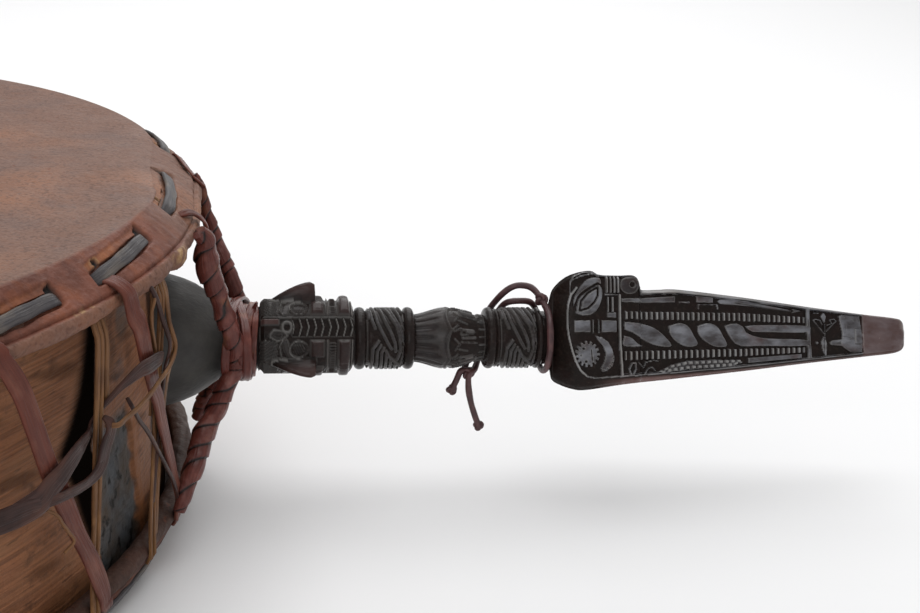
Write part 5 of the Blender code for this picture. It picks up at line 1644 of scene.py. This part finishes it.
def make_grip(sizes, material):
    """The handle from the drum to the blade: a turned profile, with the carving added outwards
    as a function of the place along it and the angle round it."""
    # rows: a few down the plain shoulder, then close ones over the carving
    x = np.concatenate([np.linspace(0.2062, 0.2410, 30), np.linspace(0.2413, 0.3704, 404)])
    x = x[:, None]
    turn = np.linspace(-np.pi, np.pi, 228, endpoint=False)[None, :]
    phi = np.degrees(turn)
    radius = grip_radius(x) + 0.0 * turn
    along = x / MM + 0.0 * turn
    level = np.zeros_like(radius)
    # a row of True, which spreads a test of x over the whole grid
    all_round = np.ones_like(turn, bool)
    head = (x > 0.2487) & (x < 0.2868) & all_round
    psi = (phi - NOSE + 60.0) % 120.0 - 60.0
    level = np.where(head, head_level(along, psi + 0.0 * x), level)
    half_turn = (phi + 90.0) % 180.0 - 90.0 + 0.0 * x
    knotted = np.zeros_like(head)
    for start, stop in KNOTS:
        inside = (x > start) & (x < stop) & all_round
        edge = ease(np.minimum(x - start, stop - x), 0.0, 0.0007)
        place = 291.2 + (along - start / MM) * 15.4 / ((stop - start) / MM)
        level = np.where(inside, knot_level(place, half_turn) * edge, level)
        knotted |= inside
    in_bud = (x > BUD[0] + 0.0003) & (x < BUD[1] - 0.0003) & all_round
    level = np.where(in_bud, bud_level(along, phi + 0.0 * x), level)
    reach = radius + level * MM
    lift = np.where(head, 0.0011, 0.0)
    near, up = reach * np.cos(turn), reach * np.sin(turn) + lift
    grid = on_handle(sizes, x, near, up)
    patchy = 0.8 + 0.2 * waver(along, up / MM, size=7.0, seed=22)
    # grey on the raised ridges and strands: partly wear, partly painted highlight
    worn = np.where(head, ease(level, -0.5, 0.1) * 0.07, 0.02)
    worn = np.where(in_bud, ease(level, -0.5, 0.1) * (0.08 + 0.22 * (along > 327.5)), worn)
    worn = np.where(knotted, ease(level, -0.2, 0.40) * 0.24, worn)
    worn = np.where(x < HEAD[0], 0.0, worn) * patchy
    dusty = 1.0 - ease(x, 0.2400, 0.2440) + 0.0 * turn
    nose = np.where(head, ease(level, 1.2, 6.0) * 0.30, 0.0)
    flat = np.where(head & (along < 257.0) & (psi < -44.0), ease(level, -0.3, 0.05), 0.0)
    cheeks = head & (along > 266.0) & (np.abs(psi) < 41.0)
    nose = np.where(cheeks, np.maximum(nose, ease(level, -0.4, 0.6) * 0.12), nose)
    cheek = cheeks & (np.abs(psi) > 8.0) & ((along < 275.4) | ((along > 279.7) & (along < 285.5)))
    # painted highlights on the thin raised lines, the bud's bars and the shapes' upper edges
    painted_highlight = np.where(head & ~cheek, ease(level, 0.16, 0.32) * 0.85, 0.0)
    painted_highlight = np.where(in_bud, ease(level, 0.22, 0.40) * 0.30, painted_highlight)
    painted_highlight = np.maximum(painted_highlight * (level < 0.8),
                        0.30 * edge_highlight(level) * (head | in_bud | knotted))
    paint = np.stack([worn, np.maximum(nose, 0.4 * flat), dusty, painted_highlight], -1)
    surface = Surface()
    surface.add(grid, paint=paint)
    piece = surface.finish("carved_grip", material, sharp=70.0)
    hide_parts("handle")


# ---------------------------------------------------------------- operators and panel


class DRUM_OT_skins(bpy.types.Operator):
    """Make the two skins with their flaps, windows and rolled edges"""

    bl_idname = "drum.skins"
    bl_label = "Skins"

    def execute(self, context):
        sizes, colours = context.scene.drum_sizes, context.scene.drum_colours
        upper, lower = skins(sizes)
        hide = hide_finish("smoked goat hide", colours.hide, colours.hide_warm, "#574542",
                           colours.flap, colours.raw_edge, 0.42)
        # the lower skin's darker tones are partly its own, partly painted shade under the drum
        under = hide_finish("smoked goat hide, underside with painted shade", colours.lower_hide, "#42302a",
                            "#33261f", "#3a2822", colours.raw_edge, 0.12)
        windows = [NEAR_WINDOW, FAR_WINDOW, *all_windows()]
        below = [(w[1] - 12.0, w[1] - 2.0, 0.5, 0.5) for w in all_windows()]
        make_skin(sizes, upper, windows, "upper_skin", "upper_head", hide, 31)
        make_skin(sizes, lower, below, "lower_skin", "lower_head", under, 51)
        return {"FINISHED"}


class DRUM_OT_frame(bpy.types.Operator):
    """Make the bent wooden ring"""

    bl_idname = "drum.frame"
    bl_label = "Bent frame"

    def execute(self, context):
        colours = context.scene.drum_colours
        make_frame(context.scene.drum_sizes, wood_finish("steam-bent board", colours.wood))
        return {"FINISHED"}


class DRUM_OT_lacing(bpy.types.Operator):
    """Make the window strips, the slanting and upright strips and the belts"""

    bl_idname = "drum.lacing"
    bl_label = "Lacing"

    def execute(self, context):
        sizes, colours = context.scene.drum_sizes, context.scene.drum_colours
        ribbon = strip_finish("dried hide strip", colours.ribbon, "#8f8271", "#38363a", 0.42)
        slant = strip_finish("stained split cane", colours.slant, "#8f5d4b", "#4a2823", 0.40)
        splint = strip_finish("split cane", colours.splint, "#ab7f50", "#3c261b", 0.50)
        belt = strip_finish("dark split cane", colours.belt, "#6f4737", "#241a19", 0.42)
        make_ribbons(sizes, ribbon)
        make_slants(sizes, slant)
        make_uprights(sizes, splint)
        make_far_strip(sizes, splint)
        make_belts(sizes, belt, splint)
        make_window_tails(sizes, slant)
        return {"FINISHED"}


class DRUM_OT_binding(bpy.types.Operator):
    """Make the two bound braces and the collar round the handle's neck"""

    bl_idname = "drum.binding"
    bl_label = "Braces and collar"

    def execute(self, context):
        sizes = context.scene.drum_sizes
        bark = binding_finish("inner-bark strip", context.scene.drum_colours.binding, "#3a1c1a")
        make_braces(sizes, bark)
        make_collar(sizes, bark)
        return {"FINISHED"}


class DRUM_OT_handle(bpy.types.Operator):
    """Make the carved handle: its grip and its blade"""

    bl_idname = "drum.handle"
    bl_label = "Carved handle"

    def execute(self, context):
        sizes, colours = context.scene.drum_sizes, context.scene.drum_colours
        wood = carved_finish("carved waxed hardwood", colours.carved, colours.worn)
        make_grip(sizes, wood)
        make_blade(sizes, wood)
        return {"FINISHED"}


class DRUM_OT_cord(bpy.types.Operator):
    """Make the tie cord and its knots"""

    bl_idname = "drum.cord"
    bl_label = "Tie cord"

    def execute(self, context):
        colours = context.scene.drum_colours
        make_cord(context.scene.drum_sizes, cord_finish("rolled leather thong", colours.cord))
        return {"FINISHED"}

# softboxes: name, place, what it looks at, its side in metres and its power in watts
LIGHTS = (
    ("overhead softbox", (0.30, 0.55, 1.70), (0.25, 0.05, 0.05), 1.5, 17.5),
    ("back softbox", (0.80, 2.60, 1.60), (0.50, 1.10, 0.00), 1.8, 18.0),
    ("front fill", (-0.5, -1.8, 1.0), (0.2, 0.0, 0.07), 1.2, 7.0))

FLOOR_REACH = 7.0

FLOOR_LEVEL = -0.0004

SKY_STRENGTH = 0.60

# the camera's place, and the directions of its right, its top and its view
CAMERA_PLACE = (0.24711, -0.49442, 0.27652)

CAMERA_AXES = ((0.987537, -0.146997, 0.056239), (0.000603, 0.360857, 0.932621),
               (0.157386, 0.920964, -0.356448))

FOCAL_LENGTH = 50.23

SENSOR_WIDTH = 36.0


def make_floor():
    """A level sheet of white paper a hair below the drum."""
    mesh = bpy.data.meshes.new("studio_floor")
    corners = [(-1, -1), (1, -1), (1, 1), (-1, 1)]
    mesh.from_pydata([(x * FLOOR_REACH, y * FLOOR_REACH, FLOOR_LEVEL) for x, y in corners], [],
                     [(0, 1, 2, 3)])
    floor = bpy.data.objects.new("studio_floor", mesh)
    bpy.context.scene.collection.objects.link(floor)
    paper = bpy.data.materials.new("white studio paper")
    paper.use_nodes = True
    shader = paper.node_tree.nodes["Principled BSDF"]
    tone = add_node(paper.node_tree, "ShaderNodeTexNoise", {"Scale": 1.5, "Detail": 2.0})
    mix = add_node(paper.node_tree, "ShaderNodeMix",
                   {0: tone, 6: (0.84, 0.84, 0.85, 1.0), 7: (0.87, 0.87, 0.87, 1.0)},
                   data_type="RGBA")
    feed(paper.node_tree, shader.inputs["Base Color"], mix.outputs[2])
    feed(paper.node_tree, shader.inputs["Roughness"], 0.9)
    mesh.materials.append(paper)


class DRUM_OT_studio(bpy.types.Operator):
    """Set up the pale studio, its lights and the camera"""

    bl_idname = "drum.studio"
    bl_label = "Studio and camera"

    def execute(self, context):
        scene = context.scene
        make_floor()
        world = bpy.data.worlds.new("studio air")
        world.use_nodes = True
        sky = world.node_tree.nodes["Background"].inputs
        sky[0].default_value = (1.0, 1.0, 1.0, 1.0)
        sky[1].default_value = SKY_STRENGTH
        scene.world = world
        for name, place, aim, size, power in LIGHTS:
            light = bpy.data.lights.new(name, "AREA")
            light.shape, light.size, light.energy = "SQUARE", size, power
            lamp = bpy.data.objects.new(name, light)
            lamp.location = place
            lamp.rotation_mode = "QUATERNION"
            towards = Vector(np.subtract(aim, place))
            lamp.rotation_quaternion = towards.to_track_quat("-Z", "Y")
            scene.collection.objects.link(lamp)
        lens = bpy.data.cameras.new("camera")
        lens.lens, lens.sensor_width, lens.clip_start = FOCAL_LENGTH, SENSOR_WIDTH, 0.02
        camera = bpy.data.objects.new("camera", lens)
        right, up, forward = CAMERA_AXES
        camera.matrix_world = Matrix([[right[i], up[i], -forward[i], CAMERA_PLACE[i]]
                                      for i in range(3)] + [[0.0, 0.0, 0.0, 1.0]])
        scene.collection.objects.link(camera)
        scene.camera = camera
        scene.view_settings.view_transform = "Standard"
        return {"FINISHED"}


class DRUM_PT_panel(bpy.types.Panel):
    """Lists the drum's pieces"""

    bl_idname = "DRUM_PT_panel"
    bl_label = "Shaman frame drum"
    bl_space_type = "VIEW_3D"
    bl_region_type = "UI"
    bl_category = "Drum"

    def draw(self, context):
        for operator in OPERATORS:
            self.layout.operator(operator.bl_idname)
        for group in (context.scene.drum_sizes, context.scene.drum_colours):
            box = self.layout.box()
            for name in group.__annotations__:
                box.prop(group, name)


OPERATORS = (DRUM_OT_studio, DRUM_OT_cord, DRUM_OT_skins, DRUM_OT_frame, DRUM_OT_lacing,
             DRUM_OT_binding, DRUM_OT_handle)
CLASSES = (DrumSizes, DrumColours, *OPERATORS, DRUM_PT_panel)


def register():
    """Add the drum's settings, operators and panel."""
    for part in CLASSES:
        bpy.utils.register_class(part)
    bpy.types.Scene.drum_sizes = PointerProperty(type=DrumSizes)
    bpy.types.Scene.drum_colours = PointerProperty(type=DrumColours)


def unregister():
    """Take them away again."""
    del bpy.types.Scene.drum_sizes
    del bpy.types.Scene.drum_colours
    for part in reversed(CLASSES):
        bpy.utils.unregister_class(part)


def main():
    """Make the whole drum in its studio."""
    register()
    bpy.ops.drum.studio()
    bpy.ops.drum.cord()
    bpy.ops.drum.skins()
    bpy.ops.drum.frame()
    bpy.ops.drum.lacing()
    bpy.ops.drum.binding()
    bpy.ops.drum.handle()


if __name__ == "__main__":
    main()
